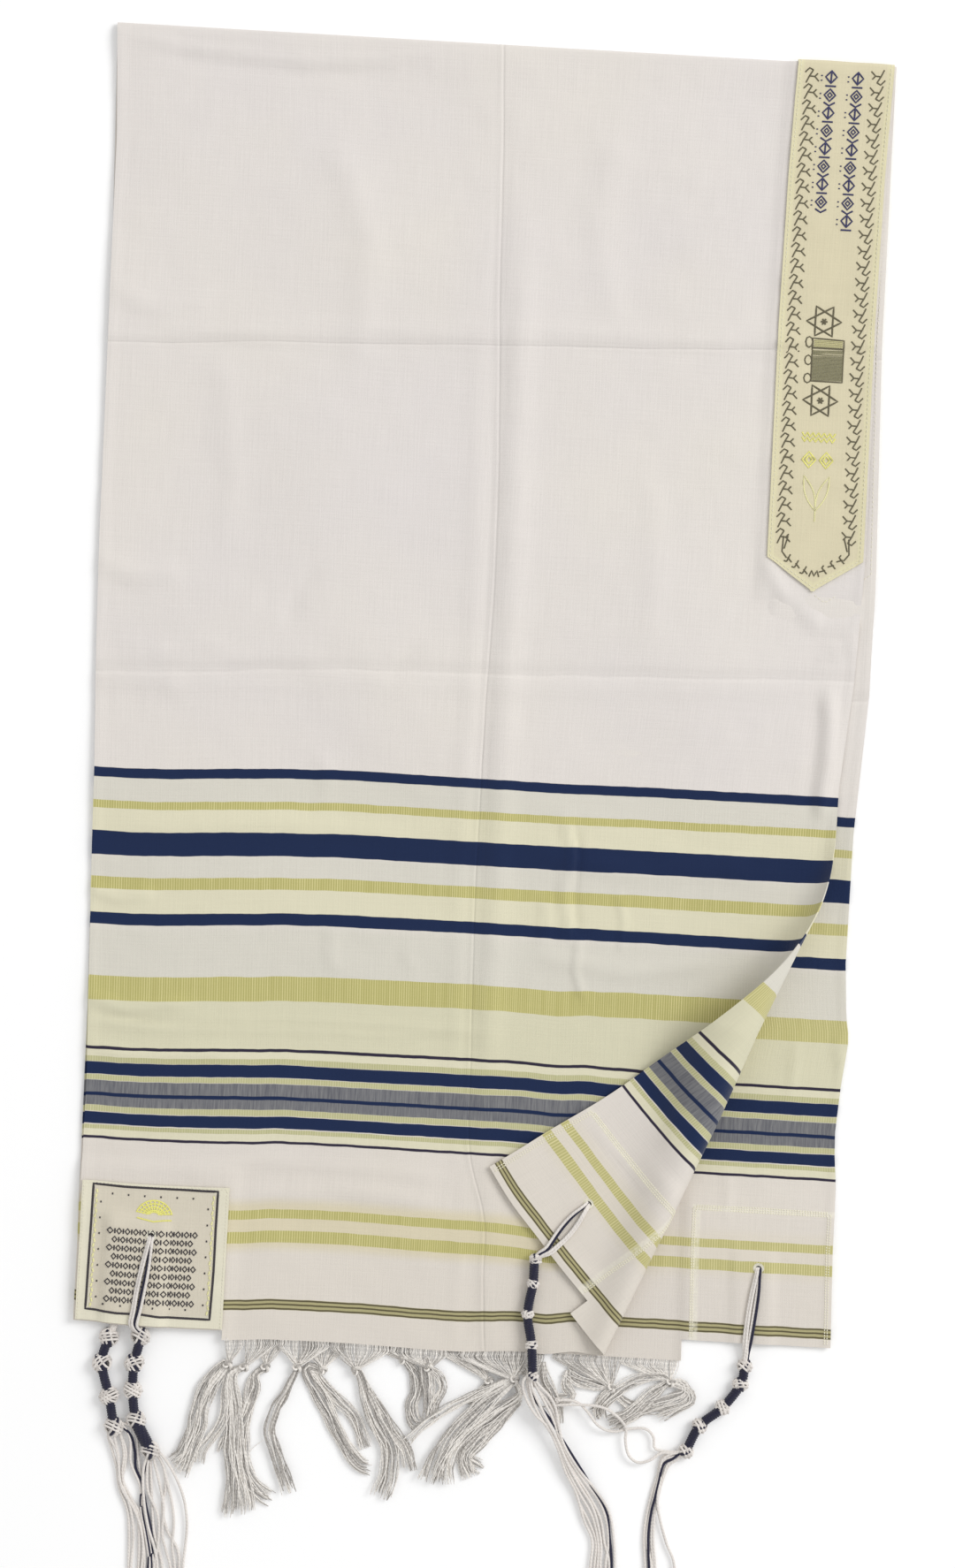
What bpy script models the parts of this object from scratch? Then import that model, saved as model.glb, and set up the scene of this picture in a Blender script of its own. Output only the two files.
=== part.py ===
"""Tallit prayer shawl, folded across its middle and laid flat, one corner turned over.

Metres, +Z up. The origin lies on the resting surface at the middle of the folded cloth; +Y
points to the top fold and +X to the edge that carries the neckband. The cloth is described by
its flat cut: u runs across the width from the left selvage, v runs along the length from the
top fold, positive on the front layer and negative on the back layer.
"""
import math

import bmesh
import bpy
from mathutils import Vector

WIDTH = 0.555                 # selvage to selvage
HALF = 0.937                  # top fold to fringed end
HEMMED = 0.930                # top fold to the turned hem of a corner
CLOTH = 0.001                 # cloth wall
GAP = 0.0003                  # between neighbouring pieces
STRING = 0.0016               # one tzitzit string, and the thickness of a row of them

FOLD_RADIUS = 0.002           # middle of the cloth wall round the top fold
FOLD_SETTLE = 0.030           # the front layer comes down over this length

PATCH_WIDTH = 0.100
PATCH_INSET = 0.007           # from the selvage
PATCH_TOP = 0.832             # distance from the top fold
EYELET_U = 0.053              # from the selvage
BACK_EYELET_U = 0.0435        # the one that lies under the front left corner
EYELET_V = 0.864
EYELET_RADIUS = 0.0028

EYELETS = {  # corner: u and v of its eyelet
    "front_left": (EYELET_U, EYELET_V), "front_right": (WIDTH - EYELET_U, EYELET_V),
    "back_left": (BACK_EYELET_U, -EYELET_V), "back_right": (WIDTH - EYELET_U, -EYELET_V)}
ROW_ENDS = {  # corner: u where its strings cross the hem
    "front_left": 0.044, "front_right": WIDTH - 0.063, "back_left": 0.030, "back_right": WIDTH - 0.060}

BAND_WIDTH = 0.069
BAND_INSET = 0.0015
BAND_SHOULDER = 0.357         # where the pointed end begins, from the top fold
BAND_TIP = 0.380

# Outline of the laid cloth: distance from the top fold, then x of each selvage.
FRONT_EDGES = [  # v, left, right
    (0.00, -0.281, 0.2785), (0.08, -0.278, 0.275), (0.19, -0.278, 0.2725), (0.36, -0.278, 0.2715),
    (0.44, -0.277, 0.268), (0.52, -0.2745, 0.2600), (0.60, -0.2735, 0.2585), (0.75, -0.271, 0.2585),
    (0.94, -0.274, 0.2585)]
BACK_EDGES = [
    (0.00, -0.281, 0.2785), (0.20, -0.277, 0.2770), (0.36, -0.277, 0.2800), (0.44, -0.276, 0.2790),
    (0.54, -0.274, 0.2720), (0.70, -0.272, 0.2765), (0.77, -0.272, 0.2710), (0.94, -0.271, 0.2725)]
BACK_ROWS = [  # v, how much lower the row lies than the front one
    (0.00, 0.0), (0.45, 0.0126), (0.55, 0.0126), (0.68, 0.011), (0.73, 0.0068), (0.85, 0.004),
    (0.91, 0.0), (0.94, 0.0)]

# The turned corner: a soft roll about a crease line, tight at the hem and open at its far end.
CREASE_FOOT = Vector((0.1222, -0.4484))
CREASE_ANGLE = math.radians(65.4)
ALONG = Vector((math.cos(CREASE_ANGLE), math.sin(CREASE_ANGLE)))
ACROSS = Vector((math.sin(CREASE_ANGLE), -math.cos(CREASE_ANGLE)))
ROLL = [  # distance along the crease, radius of the roll
    (-0.02, 0.005), (0.08, 0.0085), (0.16, 0.0115), (0.23, 0.0195), (0.30, 0.022), (0.44, 0.0215)]
ROW_DROP = [(0.60, 0.0), (0.71, 0.005), (0.79, 0.0075), (0.91, 0.009)]  # v, near the crease only
SLIP, SLIP_BOW, SLIP_TWIST = -0.20, 1.43, -0.88   # how the turned corner is drawn along the crease
FLAP_REST = 0.0067            # middle of the turned layer above the surface

TOP_LEFT_Y, TOP_RIGHT_Y = 0.469, 0.461

for old in list(bpy.data.objects):
    bpy.data.objects.remove(old, do_unlink=True)
collection = bpy.data.collections.new("tallit_prayer_shawl")
bpy.context.scene.collection.children.link(collection)


def soft(t):
    """Smooth step from 0 to 1."""
    t = min(max(t, 0.0), 1.0)
    return t * t * (3 - 2 * t)


def table(rows, x, column=1):
    """Value of one column of a table at x, with straight runs between its rows."""
    if x <= rows[0][0]:
        return rows[0][column]
    for low, high in zip(rows, rows[1:]):
        if x <= high[0]:
            share = (x - low[0]) / (high[0] - low[0])
            return low[column] + (high[column] - low[column]) * share
    return rows[-1][column]


def within(x, low, high, ramp):
    """1 between low and high, falling softly to 0 over ramp outside them."""
    return soft((x - low) / ramp + 1) * soft((high - x) / ramp + 1)


def paint(obj, color, roughness=0.9):
    """Give the object its own plain material and put it in the shawl's collection."""
    material = bpy.data.materials.new(obj.name)
    material.use_nodes = True
    shader = material.node_tree.nodes["Principled BSDF"]
    shader.inputs["Base Color"].default_value = (*color, 1)
    shader.inputs["Roughness"].default_value = roughness
    shader.inputs["Metallic"].default_value = 0.0
    obj.data.materials.clear()
    obj.data.materials.append(material)
    return obj


def add_mesh(name, bm, color):
    mesh = bpy.data.meshes.new(name)
    bm.to_mesh(mesh)
    bm.free()
    obj = bpy.data.objects.new(name, mesh)
    collection.objects.link(obj)
    return paint(obj, color)


# ---- where a point of the flat cloth lies -------------------------------------------------

BACK_MOUNDS = [(0.025, 0.060), (WIDTH - 0.067, WIDTH - 0.046)]   # u of cloth held up by strings
FRONT_MOUNDS = [(0.025, 0.060)]


def mound(u, v, mounds):
    """1 over the strings between an eyelet and the hem, 0 away from them."""
    over = max(within(u, low, high, 0.009) for low, high in mounds)
    return over * within(v, EYELET_V - 0.006, 1.0, 0.012)


def back_lift(u, v):
    """How far the back layer is held up by the pieces under it. v is counted positive here."""
    raised = CLOTH + GAP
    patch = max(within(u, PATCH_INSET, PATCH_INSET + PATCH_WIDTH, 0.01),
                within(u, WIDTH - PATCH_INSET - PATCH_WIDTH, WIDTH, 0.01))
    patch *= within(v, PATCH_TOP, 1.0, 0.012)
    band = within(u, WIDTH - BAND_INSET - BAND_WIDTH, WIDTH, 0.01) * within(v, -1.0, BAND_TIP, 0.012)
    return raised * max(patch, band) + (STRING + GAP) * mound(u, v, BACK_MOUNDS)


def front_lift(u, v):
    """How far the front layer lies above the middle of the back layer."""
    between = (STRING + GAP) * mound(u, v, FRONT_MOUNDS)
    return back_lift(u, v) + CLOTH + GAP + between


def top_line(u):
    return TOP_LEFT_Y + (TOP_RIGHT_Y - TOP_LEFT_Y) * u / WIDTH


def laid_x(u, v, edges):
    """x of a point on a layer: a selvage-to-selvage run, gathered a little right of its middle."""
    left, right = table(edges, v, 1), table(edges, v, 2)
    gathered = WIDTH - (right - left)
    return left + u - gathered * soft((u - 0.20) / 0.25)


def laid_flat(u, v):
    """x, y and height of the cloth's middle before its corner is turned."""
    distance = abs(v)
    quarter = math.pi / 2 * FOLD_RADIUS
    low = CLOTH / 2 + back_lift(u, distance)
    if distance < quarter:
        angle = v / FOLD_RADIUS
        x = laid_x(u, 0.0, FRONT_EDGES)
        y = top_line(u) - FOLD_RADIUS + FOLD_RADIUS * math.cos(angle)
        return x, y, low + FOLD_RADIUS + FOLD_RADIUS * math.sin(angle)
    run = top_line(u) - FOLD_RADIUS - (distance - quarter)
    if v < 0:
        return laid_x(u, distance, BACK_EDGES), run - table(BACK_ROWS, distance), low
    resting = CLOTH / 2 + front_lift(u, distance)
    height = resting + (low + 2 * FOLD_RADIUS - resting) * (1 - soft((distance - quarter) / FOLD_SETTLE))
    x = laid_x(u, distance, FRONT_EDGES)
    bend = 0.005 * soft((-0.14 - x) / 0.11) * soft(distance / 0.5)
    drop = table(ROW_DROP, distance) * soft((x - 0.02) / 0.12)
    return x, run - bend - drop, height


def turned(x, y, height):
    """Carry a point of the front layer round the roll, where it lies past the crease."""
    flat = Vector((x, y)) - CREASE_FOOT
    past, along = flat.dot(ACROSS), flat.dot(ALONG)
    radius = table(ROLL, along)
    quarter = math.pi / 2 * radius
    if past <= -quarter:
        return x, y, height
    if past < quarter:
        angle = (past + quarter) / radius
        across, rise = radius * math.sin(angle) - quarter, radius * (1 - math.cos(angle))
    else:
        across = -past
        settled = FLAP_REST - height
        rise = settled + (2 * radius - settled) * math.exp(-((past - quarter) / (2.2 * radius)) ** 2)
    over = max(past, 0.0)
    along += (SLIP + SLIP_BOW * over + SLIP_TWIST * (along - 0.2)) * over
    laid = CREASE_FOOT + ALONG * along + ACROSS * across
    return laid.x, laid.y, height + rise


def middle(u, v):
    x, y, height = laid_flat(u, v)
    if v > 0.3:
        x, y, height = turned(x, y, height)
    return Vector((x, y, height))


def place(u, v, lift=0.0):
    """A point of the cloth, moved out from its middle towards the face side by lift."""
    here = middle(u, v)
    if lift == 0.0:
        return here
    step = 0.0004
    across = middle(u + step, v) - middle(u - step, v)
    down = middle(u, v + step) - middle(u, v - step)
    return here + down.cross(across).normalized() * lift


# ---- panels: flat cuts, laid by place() ----------------------------------------------------

QUARTER_FOLD = math.pi / 2 * FOLD_RADIUS
U_LINES = [0, 0.007, 0.016, 0.0205, 0.025, 0.060, 0.0645, 0.069, 0.107, 0.117, 0.20, 0.25, 0.285, 0.30,
           0.32, 0.34, 0.37, 0.41, 0.438, 0.448, 0.4745, 0.479, 0.4845, 0.488, 0.509, 0.5135, 0.518, 0.548,
           0.5535, WIDTH]
FOLD_LINES = [QUARTER_FOLD / 3, QUARTER_FOLD * 2 / 3, QUARTER_FOLD, 0.008, 0.014, 0.022, 0.034]
END_LINES = [0.82, 0.832, 0.846, 0.852, 0.858, 0.870, 0.90, HEMMED, HALF]
V_FRONT = FOLD_LINES + [0.08, 0.19, BAND_SHOULDER, 0.368, BAND_TIP, 0.392, 0.44, 0.48, 0.52, 0.56, 0.60,
                        0.64, 0.68, 0.72, 0.77] + END_LINES
V_BACK = FOLD_LINES + [0.20, BAND_SHOULDER, 0.368, BAND_TIP, 0.392, 0.45, 0.55, 0.68, 0.73, 0.77] + END_LINES
V_LINES = [-v for v in reversed(V_BACK)] + [0.0] + V_FRONT
ROLL_STEPS = 7                # facets round the roll
SETTLE_SHARES = [math.pi / 2 + past for past in (1.1, 2.4, 4.5)]   # where the turned layer settles


def cut(bm, point, normal, near=None):
    """Cut the flat panel along a line through point, only where near() holds."""
    faces = [f for f in bm.faces if near is None or near(f.calc_center_median())]
    parts = faces + list({e for f in faces for e in f.edges}) + list({v for f in faces for v in f.verts})
    bmesh.ops.bisect_plane(bm, geom=parts, dist=1e-7, plane_co=(point[0], point[1], 0),
                           plane_no=(normal[0], normal[1], 0))


def lines_between(lines, low, high):
    return [low] + [x for x in lines if low + 1e-6 < x < high - 1e-6] + [high]


def flat_panel(u_lines, v_lines):
    """A flat grid with its rows and columns on the given lines."""
    bm = bmesh.new()
    columns, rows = len(u_lines) - 1, len(v_lines) - 1
    bmesh.ops.create_grid(bm, x_segments=columns, y_segments=rows, size=1)
    for vert in bm.verts:
        i = round((vert.co.x + 1) / 2 * columns)
        j = round((vert.co.y + 1) / 2 * rows)
        vert.co = (u_lines[i], v_lines[j], 0)
    return bm


def crease_in_cut(share):
    """Two points of the flat cut on the line that lies past the crease by a share of the radius."""
    points = []
    for along in (0.0, 0.36):
        radius = table(ROLL, along)
        spot = CREASE_FOOT + ALONG * along + ACROSS * share * radius
        u, v = 0.45, 0.7
        for _ in range(30):   # walk to the spot through the flat cut
            x, y, _height = laid_flat(u, v)
            u, v = u + (spot.x - x), v - (spot.y - y)
        points.append(Vector((u, v)))
    return points


def add_roll_lines(bm):
    """Cut the facets of the roll, and the lines where the turned layer settles."""
    round_roll = [math.pi * (k / ROLL_STEPS - 0.5) for k in range(ROLL_STEPS + 1)]
    for share in round_roll + SETTLE_SHARES:
        low, high = crease_in_cut(share)
        run = high - low
        cut(bm, low, (run.y, -run.x), lambda c: c.y > 0.42 and c.x > 0.27)


def add_eyelet(bm, u, v):
    """Open an eight-sided eyelet."""
    reach = EYELET_RADIUS * 5
    near = lambda c: abs(c.x - u) < reach and abs(c.y - v) < reach
    for k in range(8):
        angle = math.pi / 8 + k * math.pi / 4
        normal = (math.cos(angle), math.sin(angle))
        cut(bm, (u + EYELET_RADIUS * normal[0], v + EYELET_RADIUS * normal[1]), normal, near)
    inner = EYELET_RADIUS * 0.999
    inside = [f for f in bm.faces if all(
        abs(corner.co.x - u) < EYELET_RADIUS * 1.1 and abs(corner.co.y - v) < EYELET_RADIUS * 1.1
        and max((corner.co.x - u) * math.cos(a) + (corner.co.y - v) * math.sin(a)
                for a in [math.pi / 8 + k * math.pi / 4 for k in range(8)]) < inner * 1.01
        for corner in f.verts)]
    bmesh.ops.delete(bm, geom=inside, context="FACES")


def lay(name, bm, lift, thickness, offset, color):
    """Lay a flat panel out by place() and give it its wall."""
    bmesh.ops.triangulate(bm, faces=bm.faces[:])
    bmesh.ops.dissolve_degenerate(bm, dist=2e-5, edges=bm.edges[:])
    bmesh.ops.recalc_face_normals(bm, faces=bm.faces[:])
    if bm.faces[0].normal.z > 0:
        bmesh.ops.reverse_faces(bm, faces=bm.faces[:])
    for vert in bm.verts:
        vert.co = place(vert.co.x, vert.co.y, lift)
    obj = add_mesh(name, bm, color)
    wall = obj.modifiers.new("wall", "SOLIDIFY")
    wall.thickness = thickness
    wall.offset = offset
    wall.use_even_offset = False
    return obj


ON_FACE = CLOTH + GAP         # middle of a piece sewn on the face, out from the middle of the cloth
OFF_WHITE = (0.74, 0.71, 0.69)
BEIGE = (0.70, 0.66, 0.50)
NAVY = (0.015, 0.03, 0.08)
STRING_WHITE = (0.68, 0.65, 0.62)


def build_cloth():
    bm = flat_panel(U_LINES, V_LINES)
    for hole_u, hole_v in EYELETS.values():
        add_eyelet(bm, hole_u, hole_v)
    add_roll_lines(bm)
    # the hemmed corners are a little shorter than the fringed end between them
    corners = [f for f in bm.faces if abs(f.calc_center_median().y) > HEMMED
               and not 0.107 < f.calc_center_median().x < 0.448]
    bmesh.ops.delete(bm, geom=corners, context="FACES")
    loose = [v for v in bm.verts if not v.link_faces]
    bmesh.ops.delete(bm, geom=loose, context="VERTS")
    lay("cloth_body", bm, 0.0, CLOTH, 0, OFF_WHITE)


def build_neckband():
    low, high = WIDTH - BAND_INSET - BAND_WIDTH, WIDTH - BAND_INSET
    tip = (low + high) / 2
    columns = sorted(lines_between(U_LINES, low, high) + [tip])
    bm = flat_panel(columns, lines_between(V_LINES, -BAND_TIP, BAND_TIP))
    slope = (BAND_TIP - BAND_SHOULDER) / (BAND_WIDTH / 2)
    for end in (-1, 1):
        for side in (-1, 1):
            shoulder = (tip + side * BAND_WIDTH / 2, end * BAND_SHOULDER)
            normal = Vector((side * slope, end)).normalized()
            bmesh.ops.bisect_plane(bm, geom=bm.verts[:] + bm.edges[:] + bm.faces[:], dist=1e-7,
                                   plane_co=(*shoulder, 0), plane_no=(*normal, 0), clear_outer=True)
    lay("neckband", bm, ON_FACE, CLOTH, 0, BEIGE)


def build_patch(corner):
    low = PATCH_INSET if corner.endswith("left") else WIDTH - PATCH_INSET - PATCH_WIDTH
    rows = lines_between(END_LINES, PATCH_TOP, HEMMED - 0.001)
    if corner.startswith("back"):
        rows = [-v for v in reversed(rows)]
    bm = flat_panel(lines_between(U_LINES, low, low + PATCH_WIDTH), rows)
    add_eyelet(bm, *EYELETS[corner])
    if corner == "front_right":
        add_roll_lines(bm)
    lay("patch_" + corner, bm, ON_FACE, CLOTH, 0, BEIGE)


# ---- tzitzit: strings through an eyelet, a knotted and wound stem, loose ends ----------------

STRINGS_IN_ROW = 4
ROW_FACE = ON_FACE + CLOTH / 2 + GAP + STRING / 2      # row that lies on the patch
ROW_REVERSE = -(CLOTH / 2 + GAP + STRING / 2)          # row on the other side of the cloth
ROW_PAST_HEM = 0.0015         # the rows run on past the hem
NECK_GAP, NECK_RADIUS = 0.0010, 0.0022
KNOT_RADIUS = 0.0045
BUNDLE = 0.003                # thickness of the loose ends of one tzitzit

STEMS = {  # corner: the knots from the hem outwards, metres
    "front_left": [(-0.2290, -0.4755, 0.0072), (-0.2275, -0.492, 0.0056), (-0.227, -0.511, 0.0050),
                   (-0.224, -0.532, 0.0048), (-0.214, -0.551, 0.0048)],
    "back_left": [(-0.2435, -0.4750, 0.0048), (-0.250, -0.492, 0.0048), (-0.245, -0.512, 0.0048),
                  (-0.240, -0.534, 0.0048), (-0.237, -0.552, 0.0048)],
    "front_right": [(0.0515, -0.4145, 0.0078), (0.0555, -0.429, 0.0076), (0.054, -0.446, 0.0078),
                    (0.057, -0.466, 0.0092), (0.059, -0.489, 0.0118)],
    "back_right": [(0.2105, -0.4775, 0.0048), (0.208, -0.489, 0.0048), (0.196, -0.506, 0.0048),
                   (0.180, -0.520, 0.0048), (0.171, -0.5385, 0.0048)]}
LOOSE_ENDS = {  # corner: x, y, z and half the spread of the loose strings
    "front_left": [(-0.2090, -0.5620, 0.0036, 0.005), (-0.205, -0.579, 0.0026, 0.008),
                   (-0.199, -0.604, 0.0022, 0.011), (-0.197, -0.640, 0.0022, 0.013),
                   (-0.199, -0.690, 0.0022, 0.015), (-0.200, -0.730, 0.0022, 0.016)],
    "back_left": [(-0.2350, -0.5630, 0.0036, 0.005), (-0.233, -0.579, 0.0026, 0.007),
                  (-0.2285, -0.604, 0.0022, 0.009), (-0.2265, -0.640, 0.0022, 0.010),
                  (-0.232, -0.690, 0.0022, 0.011), (-0.236, -0.726, 0.0022, 0.012)],
    "front_right": [(0.0625, -0.5020, 0.0108, 0.005), (0.070, -0.518, 0.0098, 0.006),
                    (0.084, -0.536, 0.0080, 0.007), (0.100, -0.556, 0.0050, 0.008),
                    (0.113, -0.580, 0.0026, 0.009), (0.119, -0.605, 0.0022, 0.010),
                    (0.1215, -0.640, 0.0022, 0.011), (0.118, -0.690, 0.0022, 0.012),
                    (0.120, -0.724, 0.0022, 0.013)],
    "back_right": [(0.1620, -0.5465, 0.0036, 0.005), (0.155, -0.552, 0.0028, 0.006),
                   (0.152, -0.565, 0.0022, 0.006), (0.148, -0.590, 0.0022, 0.010),
                   (0.150, -0.620, 0.0022, 0.013), (0.155, -0.660, 0.0022, 0.015),
                   (0.156, -0.712, 0.0022, 0.016)]}
STRAY_STRING = [(0.1570, -0.5490, 0.0060), (0.1510, -0.5440, 0.0050), (0.1440, -0.5440, 0.0040),
                (0.1370, -0.5460, 0.0030), (0.1310, -0.5415, 0.0030), (0.1275, -0.5330, 0.0040),
                (0.1255, -0.5215, 0.0055),
                (0.1200, -0.5120, 0.0068), (0.1110, -0.5075, 0.0068), (0.1010, -0.5055, 0.0068),
                (0.0905, -0.5060, 0.0068), (0.0790, -0.5040, 0.0068)]


def build_ribbon(name, rows, thickness, color):
    """A closed solid round a strip: each row is a list of points across it."""
    bm = bmesh.new()
    grid = [[bm.verts.new(point) for point in row] for row in rows]
    for upper, lower in zip(grid, grid[1:]):
        for k in range(len(upper) - 1):
            bm.faces.new((upper[k], upper[k + 1], lower[k + 1], lower[k]))
    bmesh.ops.triangulate(bm, faces=bm.faces[:])
    obj = add_mesh(name, bm, color)
    wall = obj.modifiers.new("wall", "SOLIDIFY")
    wall.thickness = thickness
    wall.offset = 0
    wall.use_even_offset = False
    return obj


def side_of(path, k):
    """Level direction across a path at its point k."""
    ahead = Vector(path[min(k + 1, len(path) - 1)][:2]) - Vector(path[max(k - 1, 0)][:2])
    return Vector((-ahead.y, ahead.x, 0)).normalized()


def build_loop(corner):
    """The rows of strings on both sides of the cloth, joined through the eyelet."""
    eyelet_u, eyelet_v = EYELETS[corner]
    end_u, sign = ROW_ENDS[corner], math.copysign(1, eyelet_v)
    length = HEMMED + ROW_PAST_HEM - abs(eyelet_v)
    turn = [(0.0026, 1.0), (0.0010, 0.86), (0.0002, 0.5), (0.0010, 0.14), (0.0026, 0.0)]
    stretch = [(share * length, 1.0) for share in (1.0, 0.72, 0.45, 0.22, 0.10)]
    back_stretch = [(run, 0.0) for run, _ in reversed(stretch)]
    rows = []
    for run, share in stretch + turn + back_stretch:
        middle_u = eyelet_u + (end_u - eyelet_u) * run / length
        half = (STRINGS_IN_ROW * STRING / 2) * (0.45 + 0.55 * soft(run / 0.02))
        lift = ROW_REVERSE + (ROW_FACE - ROW_REVERSE) * share
        rows.append([place(middle_u + side * half, eyelet_v + sign * run, lift) for side in (-1, 1)])
    build_ribbon("tzitzit_" + corner + "_loop", rows, STRING, STRING_WHITE)


def build_tube(name, points, radii, sides, color):
    """A round bar along the points, with its own radius at each."""
    curve = bpy.data.curves.new(name, "CURVE")
    curve.dimensions = "3D"
    curve.bevel_depth = 1.0
    curve.bevel_resolution = sides
    curve.use_fill_caps = True
    spline = curve.splines.new("POLY")
    spline.points.add(len(points) - 1)
    for target, point, radius in zip(spline.points, points, radii):
        target.co = (*point, 1)
        target.radius = radius
    obj = bpy.data.objects.new(name, curve)
    collection.objects.link(obj)
    return paint(obj, color)


def row_end(corner):
    """Where the two rows of strings meet past the hem, and the way they run."""
    eyelet_u, eyelet_v = EYELETS[corner]
    hem_v = math.copysign(HEMMED + ROW_PAST_HEM, eyelet_v)
    end = place(ROW_ENDS[corner], hem_v, (ROW_FACE + ROW_REVERSE) / 2)
    ahead = (end - place(eyelet_u, eyelet_v, (ROW_FACE + ROW_REVERSE) / 2)).normalized()
    return end, ahead


def build_stem(corner):
    """Knots with windings between them: the radius swells at each knot."""
    knots = [Vector(knot) for knot in STEMS[corner]]
    end, ahead = row_end(corner)
    points, radii = [end + ahead * NECK_GAP], [NECK_RADIUS]
    for k, knot in enumerate(knots):
        before = knots[k - 1] if k else knot - (knots[1] - knot)
        after = knots[k + 1] if k + 1 < len(knots) else knot + (knot - before)
        for reach, radius in ((-0.2, 0.72), (-0.08, 1.0), (0.08, 1.0), (0.2, 0.72)):
            points.append(knot.lerp(after if reach > 0 else before, abs(reach)))
            radii.append(KNOT_RADIUS * radius)
    build_tube("tzitzit_" + corner + "_stem", points, radii, 1, NAVY)


def build_loose_ends(corner):
    last, before = Vector(STEMS[corner][-1]), Vector(STEMS[corner][-2])
    start = last.lerp(last + (last - before), 0.2) + (last - before).normalized() * 2 * GAP
    onward = start + (last - before).normalized() * 0.003
    path = [(*start, 0.0026), (*onward, 0.0028)] + LOOSE_ENDS[corner]
    rows = []
    for k, (x, y, z, half) in enumerate(path):
        rows.append([Vector((x, y, z)) + side_of(path, k) * half * side for side in (-1, 0, 1)])
    build_ribbon("tzitzit_" + corner + "_strings", rows, BUNDLE, STRING_WHITE)


def smooth_path(points, between):
    """Points of a smooth curve through the given ones."""
    points = [Vector(p) for p in points]
    path = []
    for k in range(len(points) - 1):
        before, after = points[max(k - 1, 0)], points[min(k + 2, len(points) - 1)]
        start, end = points[k], points[k + 1]
        for j in range(between):
            t = j / between
            bend = before * 2 - start * 5 + end * 4 - after
            twist = start * 3 - before - end * 3 + after
            path.append((start * 2 + (end - before) * t + bend * t ** 2 + twist * t ** 3) / 2)
    return path + [points[-1]]


# ---- knotted fringe: each solid is the reach of one tassel ------------------------------------

FRINGE = 0.001
FRINGE_LEVELS = [0.0006, 0.0020, 0.0036]      # middles of the tassels that lie on each other
TASSELS = [  # layer, u of the fan, knot, tip, half the tip's spread, level
    ("front", 0.109, 0.123, (-0.160, -0.490), (-0.182, -0.566), 0.009, 1),
    ("front", 0.124, 0.146, (-0.148, -0.491), (-0.143, -0.598), 0.011, 1),
    ("back", 0.130, 0.152, (-0.133, -0.491), (-0.124, -0.584), 0.007, 0),
    ("front", 0.147, 0.184, (-0.110, -0.490), (-0.116, -0.580), 0.006, 1),
    ("back", 0.163, 0.196, (-0.092, -0.491), (-0.054, -0.558), 0.008, 0),
    ("front", 0.185, 0.228, (-0.068, -0.490), (-0.038, -0.576), 0.012, 1),
    ("back", 0.215, 0.245, (-0.045, -0.491), (-0.030, -0.533), 0.008, 0),
    ("front", 0.229, 0.274, (-0.016, -0.490), (-0.014, -0.524), 0.012, 1),
    ("back", 0.262, 0.292, (0.012, -0.491), (0.020, -0.560), 0.008, 0),
    ("front", 0.284, 0.345, (0.046, -0.492), (-0.010, -0.566), 0.020, 2),
    ("back", 0.308, 0.345, (0.060, -0.493), (0.052, -0.545), 0.010, 0),
    ("back", 0.360, 0.402, (0.116, -0.495), (0.104, -0.523), 0.010, 0),
    ("back", 0.410, 0.446, (0.158, -0.489), (0.124, -0.517), 0.009, 1)]


def build_tassel(number, layer, low_u, high_u, knot, tip, spread, level):
    sign = 1 if layer == "front" else -1
    fan_v = sign * (HALF + 2 * GAP)
    height = FRINGE_LEVELS[level]
    knot, tip = Vector((*knot, height)), Vector((*tip, height))
    path = [knot, knot.lerp(tip, 0.15), knot.lerp(tip, 0.55), tip]
    halves = [0.0035, 0.004, 0.0035 + 0.6 * (spread - 0.0035), spread]
    rows = [[place(low_u + (high_u - low_u) * k / 4, fan_v) for k in range(5)]]
    for k, (point, half) in enumerate(zip(path, halves)):
        across = side_of(path, k) if k else Vector((1, 0, 0))
        rows.append([point + across * half * side for side in (-1, -0.5, 0, 0.5, 1)])
    build_ribbon(f"fringe_{layer}_{number:02d}", rows, FRINGE, STRING_WHITE)


build_cloth()
build_neckband()
for corner_name in EYELETS:
    build_patch(corner_name)
for corner_name in EYELETS:
    build_loop(corner_name)
    build_stem(corner_name)
    build_loose_ends(corner_name)
stray = smooth_path(STRAY_STRING, 4)
build_tube("tzitzit_back_right_stray", stray, [STRING / 2] * len(stray), 1, STRING_WHITE)
for number, tassel in enumerate(TASSELS, 1):
    build_tassel(number, *tassel)
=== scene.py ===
"""Tallit prayer shawl, folded across its middle and laid flat, one corner turned over."""
import math

import bpy
import numpy as np
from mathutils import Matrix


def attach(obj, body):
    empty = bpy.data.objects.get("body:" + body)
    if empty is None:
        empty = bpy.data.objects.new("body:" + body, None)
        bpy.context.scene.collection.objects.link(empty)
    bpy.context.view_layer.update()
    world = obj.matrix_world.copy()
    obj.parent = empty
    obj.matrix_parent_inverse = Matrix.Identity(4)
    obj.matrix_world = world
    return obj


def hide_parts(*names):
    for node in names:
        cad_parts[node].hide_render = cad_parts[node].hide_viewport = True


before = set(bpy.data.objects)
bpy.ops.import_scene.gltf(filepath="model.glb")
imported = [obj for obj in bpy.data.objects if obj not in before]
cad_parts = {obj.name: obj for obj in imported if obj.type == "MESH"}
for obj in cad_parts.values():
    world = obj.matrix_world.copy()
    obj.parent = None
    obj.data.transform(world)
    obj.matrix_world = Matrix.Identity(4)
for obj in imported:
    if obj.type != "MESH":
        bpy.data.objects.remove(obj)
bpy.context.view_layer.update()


# ---- Shawl cloth -----------------------------------------------------------------------------
# One length of plain-woven cloth with yarn-dyed stripes near both ends, hemmed at its corners.
# It is folded across the middle and laid face up, and the front layer's right corner is turned
# over to the left in a soft curl.

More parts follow.
